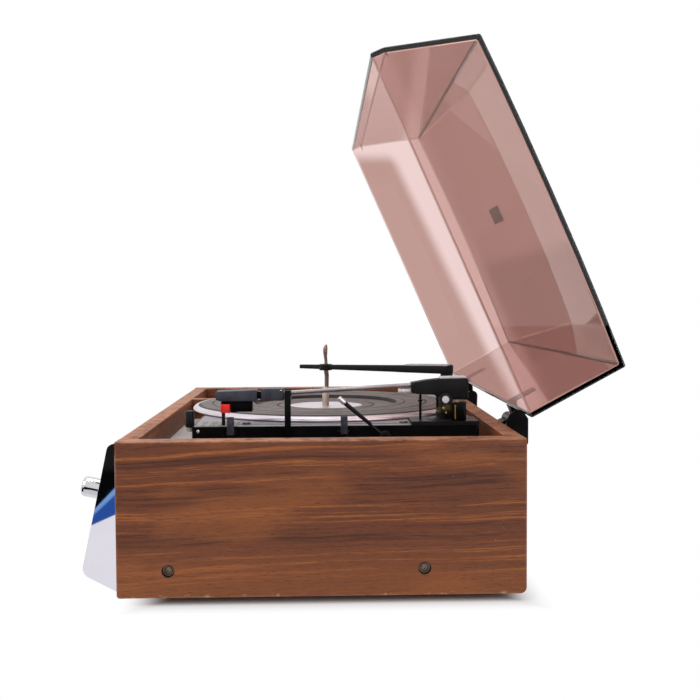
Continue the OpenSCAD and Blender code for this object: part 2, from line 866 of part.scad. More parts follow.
module escutcheon() {
    color("lightgray") difference() {
        translate([plate_xy[0], plate_xy[1], zd]) cube(plate_size);
        lever_slot(4, zd - 1);
    }
}

// Platter, spindle and drive

module platter() {
    color("gainsboro") translate([xp, yp, 0]) rotate_extrude($fn = 128)
        polygon([[bearing_r + run, z_flange], [hub_r, z_flange], [hub_r, zd + under_gap],
        [ring_r, zd + under_gap], [ring_r, ring_z], [ring_r + ring_t, ring_z],
        [ring_r + ring_t, zd + under_gap],
        [platter_r - 0.6, zd + under_gap], [platter_r, zd + under_gap + 0.6], [platter_r, z_rim - 0.8],
        [platter_r - 0.8, z_rim], [platter_r - rim_t, z_rim], [platter_r - rim_t, z_disc],
        [bearing_r + run, z_disc]]);
}

module platter_mat() {
    color("dimgray") translate([xp, yp, 0]) difference() {
        rotate_extrude($fn = 128) polygon([[mat_hole_r, z_disc], [mat_r, z_disc], [mat_r, z_rim],
            [mat_step_r, z_rim], [mat_step_r - 0.8, z_rim - mat_drop], [mat_hole_r, z_rim - mat_drop]]);
        for (g = mat_rings) {
            translate([0, 0, g[0] > mat_step_r ? z_rim - 0.6 : z_rim - mat_drop - 0.6])
                ring(g[0] + g[1], g[0], 1);
        }
    }
}

module platter_bearing() {
    color("silver") translate([xp, yp, 0]) difference() {
        union() {
            translate([0, 0, zd - well_deep - 2]) cylinder(r = bearing_r, h = z_disc - zd + well_deep + 2);
            translate([0, 0, z_well]) cylinder(r = flange_r, h = flange_t);
        }
        translate([0, 0, zd - well_deep - 3]) cylinder(r = shank_r + run, h = 40);
    }
}

module spindle() {
    off = spindle_r - blade_r - 0.25;
    tip = z_rim + spindle_h;
    color("lightgray") translate([xp, yp, 0]) union() {
        translate([0, 0, zd - well_deep - 6]) cylinder(r = spindle_r + 1.6, h = 4);
        translate([0, 0, zd - well_deep - 6]) cylinder(r = shank_r, h = z_disc - zd + well_deep + 7);
        translate([0, 0, z_disc]) cylinder(r = spindle_r, h = shelf_z - z_disc);
        translate([-off * 0.85, off * 0.5, shelf_z - 1]) cylinder(r = blade_r, h = tip - 7 - shelf_z + 1);
        translate([-off * 0.85, off * 0.5, tip - 8.5]) rotate([6, 0, 0])
            cylinder(r1 = blade_r * 0.85, r2 = blade_r * 0.65, h = 8.5);
    }
}

module motor() {
    color("slategray") translate([pulley_xy[0], pulley_xy[1], zd - well_deep]) difference() {
        union() {
            translate([0, 0, -motor_gap - motor_h]) rotate_extrude() polygon([[0, 0], [motor_r - 3, 0],
                [motor_r, 3], [motor_r, motor_h - 3], [motor_r - 3, motor_h], [0, motor_h]]);
            for (a = [30, 150, 270]) {
                rotate([0, 0, a]) translate([motor_r - 8, 0, -motor_gap - eps])
                    cylinder(r = 4, h = motor_gap + eps);
            }
        }
        translate([0, 0, -motor_gap - 20]) cylinder(r = motor_shaft_r + run, h = 40);
    }
}

module motor_pulley() {
    zp = idler_z - 0.5;
    color("goldenrod") translate([pulley_xy[0], pulley_xy[1], 0]) union() {
        translate([0, 0, zd - well_deep - motor_gap - 18])
            cylinder(r = motor_shaft_r, h = zp - zd + well_deep + motor_gap + 19);
        translate([0, 0, zp]) cylinder(r = pulley_r, h = idler_t + 1);
    }
}

module idler_wheel() {
    color("black") translate([idler_xy[0], idler_xy[1], idler_z]) difference() {
        union() {
            ring(idler_r, idler_r - 3, idler_t);
            translate([0, 0, 1]) cylinder(r = idler_r - 3 + eps, h = idler_t - 2);
            cylinder(r = 6, h = idler_t);
        }
        translate([0, 0, -1]) cylinder(r = idler_pin_r + run, h = idler_t + 2);
        for (a = [0 : 60 : 300]) {
            rotate([0, 0, a]) translate([13, 0, -1]) cylinder(r = 3.5, h = idler_t + 2);
        }
    }
}

// Tonearm

module tonearm_base() {
    color("black") translate([xa, ya, zd]) difference() {
        union() {
            rotate_extrude() polygon([[0, 0], [17, 0], [17, 2.5], [15.5, 4], [column_r + 2, 4],
                [column_r, 6], [column_r, column_h], [0, column_h]]);
            translate([-9, 15.4, 0]) cube([18, 4, pivot_h - 3]);
            translate([base_x0 - xa, deck_y1 - base_len - ya, 0])
                cube([deck_x1 - base_in - base_x0, base_len - base_in, base_t]);
        }
        translate([0, 0, -1]) cylinder(r = swing_r + run, h = column_h + 2);
        translate([0, rod_y - ya, -1]) cylinder(r = rod_r + gap, h = base_t + 2);
    }
}

module tonearm_yoke() {
    color("dimgray") translate([xa, ya, zd]) difference() {
        union() {
            translate([0, 0, -8]) cylinder(r = swing_r, h = column_h + 9);
            translate([-cheek_x - cheek_t, -cheek_y, column_h])
                cube([2 * (cheek_x + cheek_t), 2 * cheek_y, 2.5]);
            for (s = [-1, 1]) {
                translate([s * (cheek_x + cheek_t / 2) - cheek_t / 2, -cheek_y, column_h])
                    cube([cheek_t, 2 * cheek_y, pivot_h - column_h]);
                translate([s * (cheek_x + cheek_t / 2) - cheek_t / 2, 0, pivot_h]) rotate([0, 90, 0])
                    cylinder(r = cheek_y, h = cheek_t);
            }
        }
        translate([-cheek_x - cheek_t - 1, 0, pivot_h]) rotate([0, 90, 0])
            cylinder(r = pivot_r + run, h = 2 * (cheek_x + cheek_t + 1));
    }
}

module pivot_screws() {
    color("silver") for (s = [-1, 1]) {
        translate([xa + s * (cheek_x + cheek_t), ya, za]) rotate([0, s * 90, 0]) difference() {
            union() {
                translate([0, 0, -(cheek_x + cheek_t) + block_w / 2 - 4])
                    cylinder(r = pivot_r, h = cheek_x + cheek_t - block_w / 2 + 4 + eps);
                cylinder(r1 = 3.3, r2 = 2.8, h = 1.4);
            }
            translate([-4, -0.4, 0.8]) cube([8, 0.8, 2]);
        }
    }
}

module tonearm_block() {
    color("black") translate([xa, ya, za]) difference() {
        union() {
            along_x(-block_w / 2, block_w / 2) polygon([[-31, 6], [-31, 15], [-18, 17.2], [-4, 18.6],
                [20, 19], [22, 17.5], [22, 0.5], [20, -0.8], [-5, -0.8], [-9, 3.8], [-22, 4.3]]);
            translate([-block_w / 2, 0, 0]) rotate([0, 90, 0]) cylinder(r = 5, h = block_w);
        }
        for (s = [-1, 1]) {
            translate([s * (block_w / 2 + 1), 0, 0]) rotate([0, -s * 90, 0])
                cylinder(r = pivot_r + run, h = 6);
        }
        arm_line(tube_y1 - ya - 4) cylinder(r = tube_r + fit, h = 12);
    }
}

// Places children on the arm tube's line, at y from the pivot, with +Z along the tube to the rear
module arm_line(start) {
    translate([0, start, tube_z0 - za + (ya + start - tube_y0) * tan(tube_tilt)])
        rotate([-90 + tube_tilt, 0, 0]) children();
}

module tonearm_tube() {
    color("silver") translate([xa, ya, za]) {
        arm_line(tube_y0 + 3 - ya) cylinder(r = tube_r, h = (tube_y1 + 4 - tube_y0 - 3) / cos(tube_tilt));
        along_x(-strip_w / 2, strip_w / 2) polygon([[-4, 18.6], [20, 19], [20, 19 + strip_t],
            [-4, 18.6 + strip_t]]);
        translate([0, -31, stub_z]) rotate([90, 0, 0]) {
            cylinder(r = stub_r, h = stub_len);
            translate([0, 0, stub_len - 3]) cylinder(r = stub_r + 0.4, h = 2.4);
        }
    }
}

module headshell() {
    zl = shell_z1 - shell_z0;
    color("darkslategray") translate([xa, 0, shell_z0]) difference() {
        union() {
            along_x(-shell_w / 2, shell_w / 2) polygon([[shell_y0, 1.6], [shell_y0, zl - 1.8],
                [shell_y0 + 1, zl - 1.2], [shell_y0 + shell_len, zl], [shell_y0 + shell_len, 0],
                [shell_y0 + 4, 0]]);
            translate([-6.5, tube_y0, 0]) cube([13, collar_len, zl + 0.9]);
            translate([-5.5, tube_y0 - 2 - eps, 1]) cube([11, 2 + 2 * eps, zl - 2]);
        }
        translate([-shell_w / 2 + shell_wall, shell_y0 + shell_wall, -1])
            cube([shell_w - 2 * shell_wall, shell_len - shell_wall - 3, zl - 1.4]);
        translate([0, ya, za - shell_z0]) arm_line(tube_y0 + 3 - ya) cylinder(r = tube_r + fit, h = 40);
    }
}

module cartridge() {
    color("black") translate([xa, 0, 0]) union() {
        along_x(-cart_w / 2, cart_w / 2) polygon([[cart_y0, cart_z0 + 4], [cart_y0, shell_z1 - 2.4],
            [cart_y0 + cart_len, shell_z1 - 2.4], [cart_y0 + cart_len, cart_z0],
            [cart_y0 + 6, cart_z0]]);
        translate([-2, cart_y0 + 5, cart_z0 - 1]) cube([4, 9, 1 + eps]);
        translate([0, cart_y0 + 6.5, cart_z0 - stylus_drop])
            cylinder(r1 = 0.3, r2 = 0.7, h = stylus_drop - 1 + eps);
    }
}

function tube_z(y) = tube_z0 + (y - tube_y0) * tan(tube_tilt);

module tonearm_rest() {
    zs = tube_z(rest_y - rest_w / 2) - tube_r / cos(tube_tilt) - gap;
    color("black") translate([0, rest_y - rest_w / 2, 0]) union() {
        translate([deck_x1, 0, skirt_z + 2]) cube([rest_t, rest_w, zs + rest_hook - skirt_z - 2]);
        translate([xa - 4, 0, zs - rest_bar]) cube([deck_x1 - xa + 4 + eps, rest_w, rest_bar]);
        translate([xa + tube_r + 2 * gap, 0, zs - eps]) cube([rest_t, rest_w, rest_hook + eps]);
    }
}

module lift_rod() {
    color("black") translate([xa, rod_y, 0]) union() {
        translate([0, 0, zd - 6]) cylinder(r = rod_r, h = za + 3.9 - zd + 6);
        translate([0, 0, za - 3]) cylinder(r = 2.2, h = 2);
    }
}

// Overarm

module overarm_sleeve() {
    color("black") translate([xo, yo, zd]) difference() {
        rotate_extrude() polygon([[0, 0], [sleeve_foot, 0], [sleeve_foot, 2], [sleeve_r, 4],
            [sleeve_r, sleeve_h], [0, sleeve_h]]);
        translate([0, 0, -1]) cylinder(r = over_shaft_r + run, h = sleeve_h + 2);
    }
}

module overarm_shaft() {
    color("silver") translate([xo, yo, 0]) union() {
        translate([0, 0, zd - 8]) cylinder(r = over_shaft_r, h = zo - zd + 8);
        translate([0, 0, zo - collar_t]) cylinder(r = sleeve_r - 0.5, h = collar_t);
        translate([0, 0, zo - eps]) cylinder(r = over_shaft_r - 1, h = over_t - 1);
    }
}

// Rise of the overarm's top at a place along it
function over_top(s) = over_t - (over_t - over_tip_t) * s / over_len;

// The overarm is the plan of a tapered bar, cut by its tapered side view, with a boss near its tip
module overarm() {
    end = over_len + over_tip_r;
    color("black") translate([xo, yo, zo]) rotate([0, 0, over_dir]) difference() {
        union() {
            intersection() {
                translate([0, 0, -1]) linear_extrude(over_t + over_strip + 2) {
                    polygon([[0, -sleeve_r], [over_wide, -sleeve_r], [over_neck, -over_tip_r - 0.8],
                        [over_len, -over_tip_r], [over_len, over_tip_r], [over_neck, over_tip_r + 0.8],
                        [over_wide, sleeve_r], [0, sleeve_r]]);
                    translate([over_len, 0]) circle(over_tip_r);
                    circle(sleeve_r);
                }
                translate([0, sleeve_r + 1, 0]) rotate([90, 0, 0]) linear_extrude(2 * sleeve_r + 2)
                    polygon([[-sleeve_r - 1, 0], [end + 1, 0], [end + 1, over_top(end)],
                        [over_wide, over_top(over_wide)], [over_wide, over_top(over_wide) + over_strip],
                        [-sleeve_r - 1, over_t + over_strip]]);
            }
            translate([over_len - over_boss, 0, -1])
                cylinder(r = over_boss_r, h = over_top(over_len - over_boss) + 1.6);
        }
        translate([0, 0, -2]) cylinder(r = over_shaft_r - 1 + run, h = over_t + 1.2);
    }
}

// Deck controls

module cue_lever() {
    color("silver") translate([cue_x0 + gap, cue_y, cue_z]) difference() {
        union() {
            rotate([0, 90, 0]) cylinder(r = cue_pin_r + 2.5, h = cue_w - gap);
            translate([cue_w / 2 - gap / 2, 0, 0]) rotate([cue_slope, 0, 0]) {
                cylinder(r = cue_rod_r, h = cue_len - 1);
                translate([0, 0, cue_len - cue_tip - cue_sleeve])
                    cylinder(r1 = cue_sleeve_r - 0.3, r2 = cue_sleeve_r, h = cue_sleeve + eps);
                translate([0, 0, cue_len - cue_tip]) cylinder(r = cue_tip_r, h = cue_tip);
            }
        }
        translate([-1, 0, 0]) rotate([0, 90, 0]) cylinder(r = cue_pin_r + run, h = cue_w + 2);
    }
}

module reject_lever() {
    color("red") translate([reject_xy[0], reject_xy[1], zd]) union() {
        translate([-reject_w[0] / 2, -reject_w[1] / 2, -deck_t - gap - reject_foot])
            cube([reject_w[0], reject_w[1], deck_t + gap + reject_foot + reject_rise + 1]);
        translate([-reject_cap[0] / 2, -reject_lead, reject_rise]) cube(reject_cap);
        translate([-6, -8, -deck_t - gap - reject_foot]) cube([10, 16, reject_foot]);
    }
}

module speed_lever() {
    color("black") translate([speed_xy[0], speed_xy[1], slot_z]) union() {
        translate([-2, -2, 0]) cube([4, skirt_t + 14, slot_h - gap]);
        translate([-5, skirt_t + speed_out + gap, 0]) cube([10, 5, slot_h - gap]);
        cylinder(r = speed_r - 1.2, h = slot_h + eps);
        translate([0, 0, slot_h]) rotate_extrude() polygon([[0, 0], [speed_r - 0.5, 0], [speed_r, 0.8],
            [speed_r, speed_top - slot_h - 2], [speed_r - 0.6, speed_top - slot_h], [0, speed_top - slot_h]]);
    }
}

module side_tab(i) {
    translate([tab_x, tab_ys[i], slot_z]) union() {
        translate([-skirt_t - 8, -2, 0]) cube([skirt_t + 9, 4, slot_h - gap]);
        translate([-skirt_t - 8, -5, 0]) cube([5, 10, slot_h - gap]);
        along_x(0, tab_t) polygon([[-tab_w / 2, 0], [tab_w / 2, 0], [tab_w / 2, 14.6],
            [tab_w / 2 - 1.5, 16.2], [-tab_w / 2 + 1.5, 16.2], [-tab_w / 2, 14.6]]);
    }
}

module size_lever() {
    color("dimgray") side_tab(0);
}

module mode_lever() {
    color("dimgray") side_tab(1);
}

// Dust cover, drawn closed and then opened about the hinge line

// Outline of the cover from the side, drawn in by o, with its open mouth lowered by o2
module cover_outline(o, o2) {
    kf = front_back / (cover_h - band_h);
    kr = rear_back / cover_h;
    of = o * sqrt(1 + kf * kf);
    or = o * sqrt(1 + kr * kr);
    yb = cover_y0 + o;
    zb = cover_z + band_h + (of - o) / kf * -1;
    polygon([[cover_y1 - or + o2 * kr, cover_z - o2], [yb, cover_z - o2], [yb, zb],
        [cover_y0 + of + (cover_h - o - band_h) * kf, cover_top - o],
        [cover_y1 - or - (cover_h - o) * kr, cover_top - o]]);
}

module dust_cover() {
    color([0.45, 0.33, 0.3, 0.5]) opened() difference() {
        along_x(-cover_w / 2, cover_w / 2) cover_outline(0, 0);
        along_x(-cover_w / 2 + cover_t, cover_w / 2 - cover_t) cover_outline(cover_t, 1);
    }
}

module hinge_leaves() {
    kr = rear_back / cover_h;
    color("black") opened() for (s = [-1, 1]) {
        along_x(s * hinge_x - leaf_w / 2, s * hinge_x + leaf_w / 2) difference() {
            union() {
                polygon([[cover_y1, cover_z], [cover_y1 - kr * leaf_h, cover_z + leaf_h],
                    [cover_y1 - kr * leaf_h + leaf_t, cover_z + leaf_h],
                    [cover_y1 - kr * arm_rise + leaf_t, cover_z + arm_rise],
                    [hinge_y - 2, hinge_z + knuckle_r - 0.8], [hinge_y - pin_r - 1, cover_z]]);
                translate([hinge_y, hinge_z]) circle(knuckle_r);
            }
            translate([hinge_y, hinge_z]) circle(pin_r + run);
        }
    }
}

// Blocks on the back of the cabinet: a plate, and a housing with an upright rear face at each side
module hinge_blocks() {
    ear = (hinge_w - leaf_w) / 2 - gap;
    color("black") for (s = [-1, 1]) {
        translate([s * hinge_x, 0, 0]) union() {
            translate([-hinge_w / 2, y_r, zt - block_h])
                cube([hinge_w, block_plate, block_h - knuckle_r - 1]);
            for (e = [-1, 1]) {
                along_x(e * (hinge_w / 2 - ear / 2) - ear / 2, e * (hinge_w / 2 - ear / 2) + ear / 2) {
                    polygon([[y_r, zt - block_h], [hinge_y + knuckle_r - block_draft, zt - block_h],
                        [hinge_y + knuckle_r, hinge_z], [hinge_y - knuckle_r, hinge_z], [y_r, zt - 3]]);
                    translate([hinge_y, hinge_z]) circle(knuckle_r);
                }
            }
            translate([-hinge_w / 2, hinge_y, hinge_z]) rotate([0, 90, 0]) cylinder(r = pin_r, h = hinge_w);
        }
    }
}

module place() {
    translate([0, frame_y, 0]) children();
}

place() side_right();
place() side_left();
place() front_rails();
place() rear_rail();
place() bottom_panel();
place() back_panel();
place() feet();
place() side_screws();
place() rear_sockets();
place() divider();
place() storage_tray();
place() motor_board();
place() front_bezel();
place() dial_window();
place() dial_scale();
place() dial_pointer();
place() tuning_knob();
place() volume_knob();
place() balance_knob();
place() bass_knob();
place() treble_knob();
place() function_knob();
place() control_pots();
place() chassis();
place() circuit_board();
place() heat_sink();
place() power_transformer();
place() deck_skirt();
place() deck_plate();
place() deck_mounts();
place() transit_screws();
place() escutcheon();
place() platter();
place() platter_mat();
place() platter_bearing();
place() spindle();
place() motor();
place() motor_pulley();
place() idler_wheel();
place() tonearm_base();
place() tonearm_yoke();
place() pivot_screws();
place() tonearm_block();
place() tonearm_tube();
place() headshell();
place() cartridge();
place() tonearm_rest();
place() lift_rod();
place() overarm_sleeve();
place() overarm_shaft();
place() overarm();
place() cue_lever();
place() reject_lever();
place() speed_lever();
place() size_lever();
place() mode_lever();
place() dust_cover();
place() hinge_leaves();
place() hinge_blocks();
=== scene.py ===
"""Looks of a compact stereo with a record changer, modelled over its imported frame."""
import math

import bpy
from mathutils import Matrix, Vector


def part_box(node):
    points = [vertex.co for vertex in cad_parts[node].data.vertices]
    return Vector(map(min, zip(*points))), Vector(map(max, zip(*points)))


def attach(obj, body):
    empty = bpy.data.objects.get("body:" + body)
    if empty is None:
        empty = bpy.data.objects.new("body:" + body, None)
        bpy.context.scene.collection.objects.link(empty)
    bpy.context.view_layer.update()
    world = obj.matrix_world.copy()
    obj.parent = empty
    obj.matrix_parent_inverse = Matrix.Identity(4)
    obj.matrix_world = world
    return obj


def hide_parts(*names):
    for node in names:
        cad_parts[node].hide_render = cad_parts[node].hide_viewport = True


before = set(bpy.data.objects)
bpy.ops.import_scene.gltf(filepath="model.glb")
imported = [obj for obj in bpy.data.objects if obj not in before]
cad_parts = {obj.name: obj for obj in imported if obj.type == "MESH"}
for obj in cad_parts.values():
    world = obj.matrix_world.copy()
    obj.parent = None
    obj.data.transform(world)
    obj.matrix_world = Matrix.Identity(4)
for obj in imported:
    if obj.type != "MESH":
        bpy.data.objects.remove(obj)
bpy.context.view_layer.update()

bl_info = {
    "name": "Compact Stereo Looks",
    "version": (1, 0, 0),
    "blender": (4, 5, 0),
    "location": "View3D > Sidebar > Stereo",
    "description": "Models and finishes the visible pieces of a compact stereo with a record changer",
    "category": "Object",
}

# The cabinet's own places, in millimetres from the middle of its side panels
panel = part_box("side_right")
shift_y = (panel[0].y + panel[1].y) * 500
top_z = panel[1].z * 1000
front_y = panel[0].y * 1000 - shift_y
half_w = 274
screw_z = 29.8
spindle_x, spindle_y = 49.5, 4.2
hinge_y, hinge_z, open_angle = 187.5, 140, 66

# The sloped front: its lean, the dial's place, and each knob's name, place, radius and reach
tilt = math.radians(12.1)
dial_x, dial_drop = 93, 47
knobs = (("tuning", 238, 47, 9.2, 20), ("volume", 140, 88, 7.5, 14), ("balance", 96, 88, 7.5, 14),
         ("bass", 52, 88, 7.5, 14), ("treble", 8, 88, 7.5, 14), ("function", -54, 47, 7.5, 14))


def at(x, y, z):
    """A place in the cabinet's millimetres, as a point of the frame in metres."""
    return Vector((x, y + shift_y, z)) / 1000


def tone(red, green, blue):
    """A colour from screen values of 0 to 255."""
    def part(c):
        c /= 255
        return c / 12.92 if c <= 0.04045 else ((c + 0.055) / 1.055) ** 2.4
    return (part(red), part(green), part(blue), 1.0)


# Modelling by hand


def settle():
    """Object mode, with nothing selected."""
    if bpy.context.object and bpy.context.object.mode != "OBJECT":
        bpy.ops.object.mode_set(mode="OBJECT")
    bpy.ops.object.select_all(action="DESELECT")


def take(*objects):
    """Selects these objects alone, with the first one active."""
    settle()
    for ob in objects:
        ob.select_set(True)
    bpy.context.view_layer.objects.active = objects[0]
    return objects[0]


def fix_place(ob):
    """Puts an object's place and turn into its mesh."""
    take(ob)
    bpy.ops.object.transform_apply(location=True, rotation=True, scale=True)
    return ob


def shut(ob):
    """Merges an edited mesh's doubles, turns its faces outwards and leaves edit mode."""
    bpy.ops.mesh.select_all(action="SELECT")
    bpy.ops.mesh.remove_doubles(threshold=1e-6)
    bpy.ops.mesh.normals_make_consistent(inside=False)
    bpy.ops.object.mode_set(mode="OBJECT")
    return ob


def line(points):
    """Draws a line of edges through points and leaves it selected in edit mode."""
    settle()
    bpy.ops.mesh.primitive_plane_add(size=0.002, location=points[0])
    ob = fix_place(bpy.context.object)
    bpy.ops.object.mode_set(mode="EDIT")
    bpy.ops.mesh.select_mode(type="VERT")
    bpy.ops.mesh.select_all(action="SELECT")
    bpy.ops.mesh.merge(type="CENTER")
    for a, b in zip(points, points[1:]):
        bpy.ops.mesh.extrude_region_move(TRANSFORM_OT_translate={"value": b - a})
    bpy.ops.mesh.select_all(action="SELECT")
    return ob


def push(points, way):
    """Fills an outline of points and pushes it along a vector into a solid."""
    ob = line(points)
    bpy.ops.mesh.edge_face_add()
    bpy.ops.mesh.extrude_region_move(TRANSFORM_OT_translate={"value": way})
    return shut(ob)


def prism(outline, x0, x1):
    """A side outline of (y, z) points in millimetres, pushed from x0 to x1."""
    return push([at(x0, y, z) for y, z in outline], Vector(((x1 - x0) / 1000, 0, 0)))


def plate(outline, z0, z1):
    """A plan outline of (x, y) points in millimetres, pushed from z0 to z1."""
    return push([at(x, y, z0) for x, y in outline], Vector((0, 0, (z1 - z0) / 1000)))


def block(x0, x1, y0, y1, z0, z1):
    """A block between two corners in millimetres."""
    settle()
    low, high = at(x0, y0, z0), at(x1, y1, z1)
    bpy.ops.mesh.primitive_cube_add(size=1, location=(low + high) / 2, scale=high - low)
    return fix_place(bpy.context.object)


def filled(node):
    """A block that fills a CAD node's box, and the box's two corners."""
    low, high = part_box(node)
    (x0, y0, z0), (x1, y1, z1) = low * 1000, high * 1000
    return block(x0, x1, y0 - shift_y, y1 - shift_y, z0, z1), low, high


def arc(centre, radius, angles):
    """Points round a centre, at angles in degrees."""
    turns = [math.radians(a) for a in angles]
    return [(centre[0] + radius * math.cos(t), centre[1] + radius * math.sin(t)) for t in turns]


def turned(profile, centre, axis=(0, 0, 1), steps=64):
    """A profile of (radius, height) points in millimetres, spun round an axis through a place."""
    axis = Vector(axis).normalized()
    side = axis.orthogonal().normalized()
    ob = line([centre + (side * r + axis * h) / 1000 for r, h in profile])
    bpy.ops.mesh.spin(steps=steps, angle=2 * math.pi, center=centre, axis=axis)
    return shut(ob)


def limb(stations, sides=20):
    """A round rod that follows (x, y, z, radius) stations, flattened by an optional fifth number."""
    settle()
    first = stations[0]
    bpy.ops.mesh.primitive_circle_add(vertices=sides, radius=first[3] / 1000, fill_type="NGON",
                                      location=at(*first[:3]))
    ob = fix_place(bpy.context.object)
    bpy.ops.object.mode_set(mode="EDIT")
    bpy.ops.mesh.select_all(action="SELECT")
    old = first
    for new in stations[1:]:
        bpy.ops.mesh.extrude_region_move(TRANSFORM_OT_translate={"value": at(*new[:3]) - at(*old[:3])})
        grow = new[3] / old[3]
        flat = (new[4] if len(new) > 4 else 1) / (old[4] if len(old) > 4 else 1)
        bpy.ops.transform.resize(value=(grow * flat, grow, 1), center_override=at(*new[:3]))
        old = new
    return shut(ob)


def finish_modifier(ob, kind, **settings):
    """Adds a modifier with its settings and applies it."""
    made = ob.modifiers.new("shape", kind)
    for key, value in settings.items():
        setattr(made, key, value)
    take(ob)
    bpy.ops.object.modifier_apply(modifier=made.name)
    return ob


def soften(ob, width, segments=3, angle=35):
    """Rounds a piece's sharp edges by a width in millimetres."""
    return finish_modifier(ob, "BEVEL", width=width / 1000, segments=segments, limit_method="ANGLE",
                           angle_limit=math.radians(angle), use_clamp_overlap=True)


def slab(x0, x1, y0, y1, z0, z1, edge=0.3):
    """A block between two corners in millimetres, with softly rounded edges."""
    return soften(block(x0, x1, y0, y1, z0, z1), edge, 2)


def cut(ob, *cutters):
    """Takes the cutters' forms out of a piece."""
    for cutter in cutters:
        finish_modifier(ob, "BOOLEAN", operation="DIFFERENCE", object=cutter, solver="EXACT")
        bpy.data.objects.remove(cutter)
    return ob


def move(ob, matrix):
    """Turns or moves a finished mesh."""
    ob.matrix_world = matrix
    return fix_place(ob)


def copy(ob, matrix):
    """A copy of a piece with its own mesh, turned or moved."""
    take(ob)
    bpy.ops.object.duplicate(linked=False)
    return move(bpy.context.object, matrix)


def join(*objects):
    """Makes one object of several."""
    ob = take(*objects)
    bpy.ops.object.join()
    return ob


def shifted(x, y, z):
    """A move by millimetres."""
    return Matrix.Translation(Vector((x, y, z)) / 1000)


def about(centre, angle, axis):
    """A turn in degrees about an axis through a place."""
    turn = Matrix.Rotation(math.radians(angle), 4, Vector(axis))
    return Matrix.Translation(centre) @ turn @ Matrix.Translation(-centre)


def pick(ob, kind, test):
    """Selects the faces or edges that pass a test, and stays in edit mode."""
    take(ob)
    bpy.ops.object.mode_set(mode="EDIT")
    bpy.ops.mesh.select_mode(type=kind)
    bpy.ops.mesh.select_all(action="DESELECT")
    bpy.ops.object.mode_set(mode="OBJECT")
    if kind == "FACE":
        for face in ob.data.polygons:
            face.select = test(face.center, face.normal)
    else:
        for edge in ob.data.edges:
            edge.select = test(*[ob.data.vertices[i].co for i in edge.vertices])
    bpy.ops.object.mode_set(mode="EDIT")


def seat(ob, name, body, slot, look, *nodes, angle=35):
    """Names a finished piece, gives it its finish and lets it ride on a body in place of its nodes."""
    ob.name = name
    ob.data.name = name
    take(ob)
    bpy.ops.object.shade_smooth_by_angle(angle=math.radians(angle))
    ob.data.materials.clear()
    ob.data.materials.append(shared(look))
    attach(ob, body)
    if nodes:
        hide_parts(*nodes)
    return ob


def dress(look, *nodes):
    """Gives CAD nodes a finish."""
    for node in nodes:
        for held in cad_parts[node].material_slots:
            held.material = shared(look)


# Finishes


class Wire:
    """A shader socket that takes part in sums, which add the Math nodes they need."""

    def __init__(self, board, node, out):
        self.board = board
        self.node = node
        self.socket = node.outputs[out]

    def __getitem__(self, out):
        return Wire(self.board, self.node, out)

    def _sum(self, operation, a, b):
        return self.board.make("ShaderNodeMath", {"operation": operation}, {0: a, 1: b})

    def __add__(self, other):
        return self._sum("ADD", self, other)

    def __radd__(self, other):
        return self._sum("ADD", other, self)

    def __sub__(self, other):
        return self._sum("SUBTRACT", self, other)

    def __rsub__(self, other):
        return self._sum("SUBTRACT", other, self)

    def __mul__(self, other):
        return self._sum("MULTIPLY", self, other)

    def __rmul__(self, other):
        return self._sum("MULTIPLY", other, self)

    def __mod__(self, other):
        return self._sum("FLOORED_MODULO", self, other)

    def __rmod__(self, other):
        return self._sum("FLOORED_MODULO", other, self)

    def __pow__(self, other):
        return self._sum("POWER", self, other)

    def __rpow__(self, other):
        return self._sum("POWER", other, self)

    def __abs__(self):
        return self._sum("ABSOLUTE", self, 0.0)


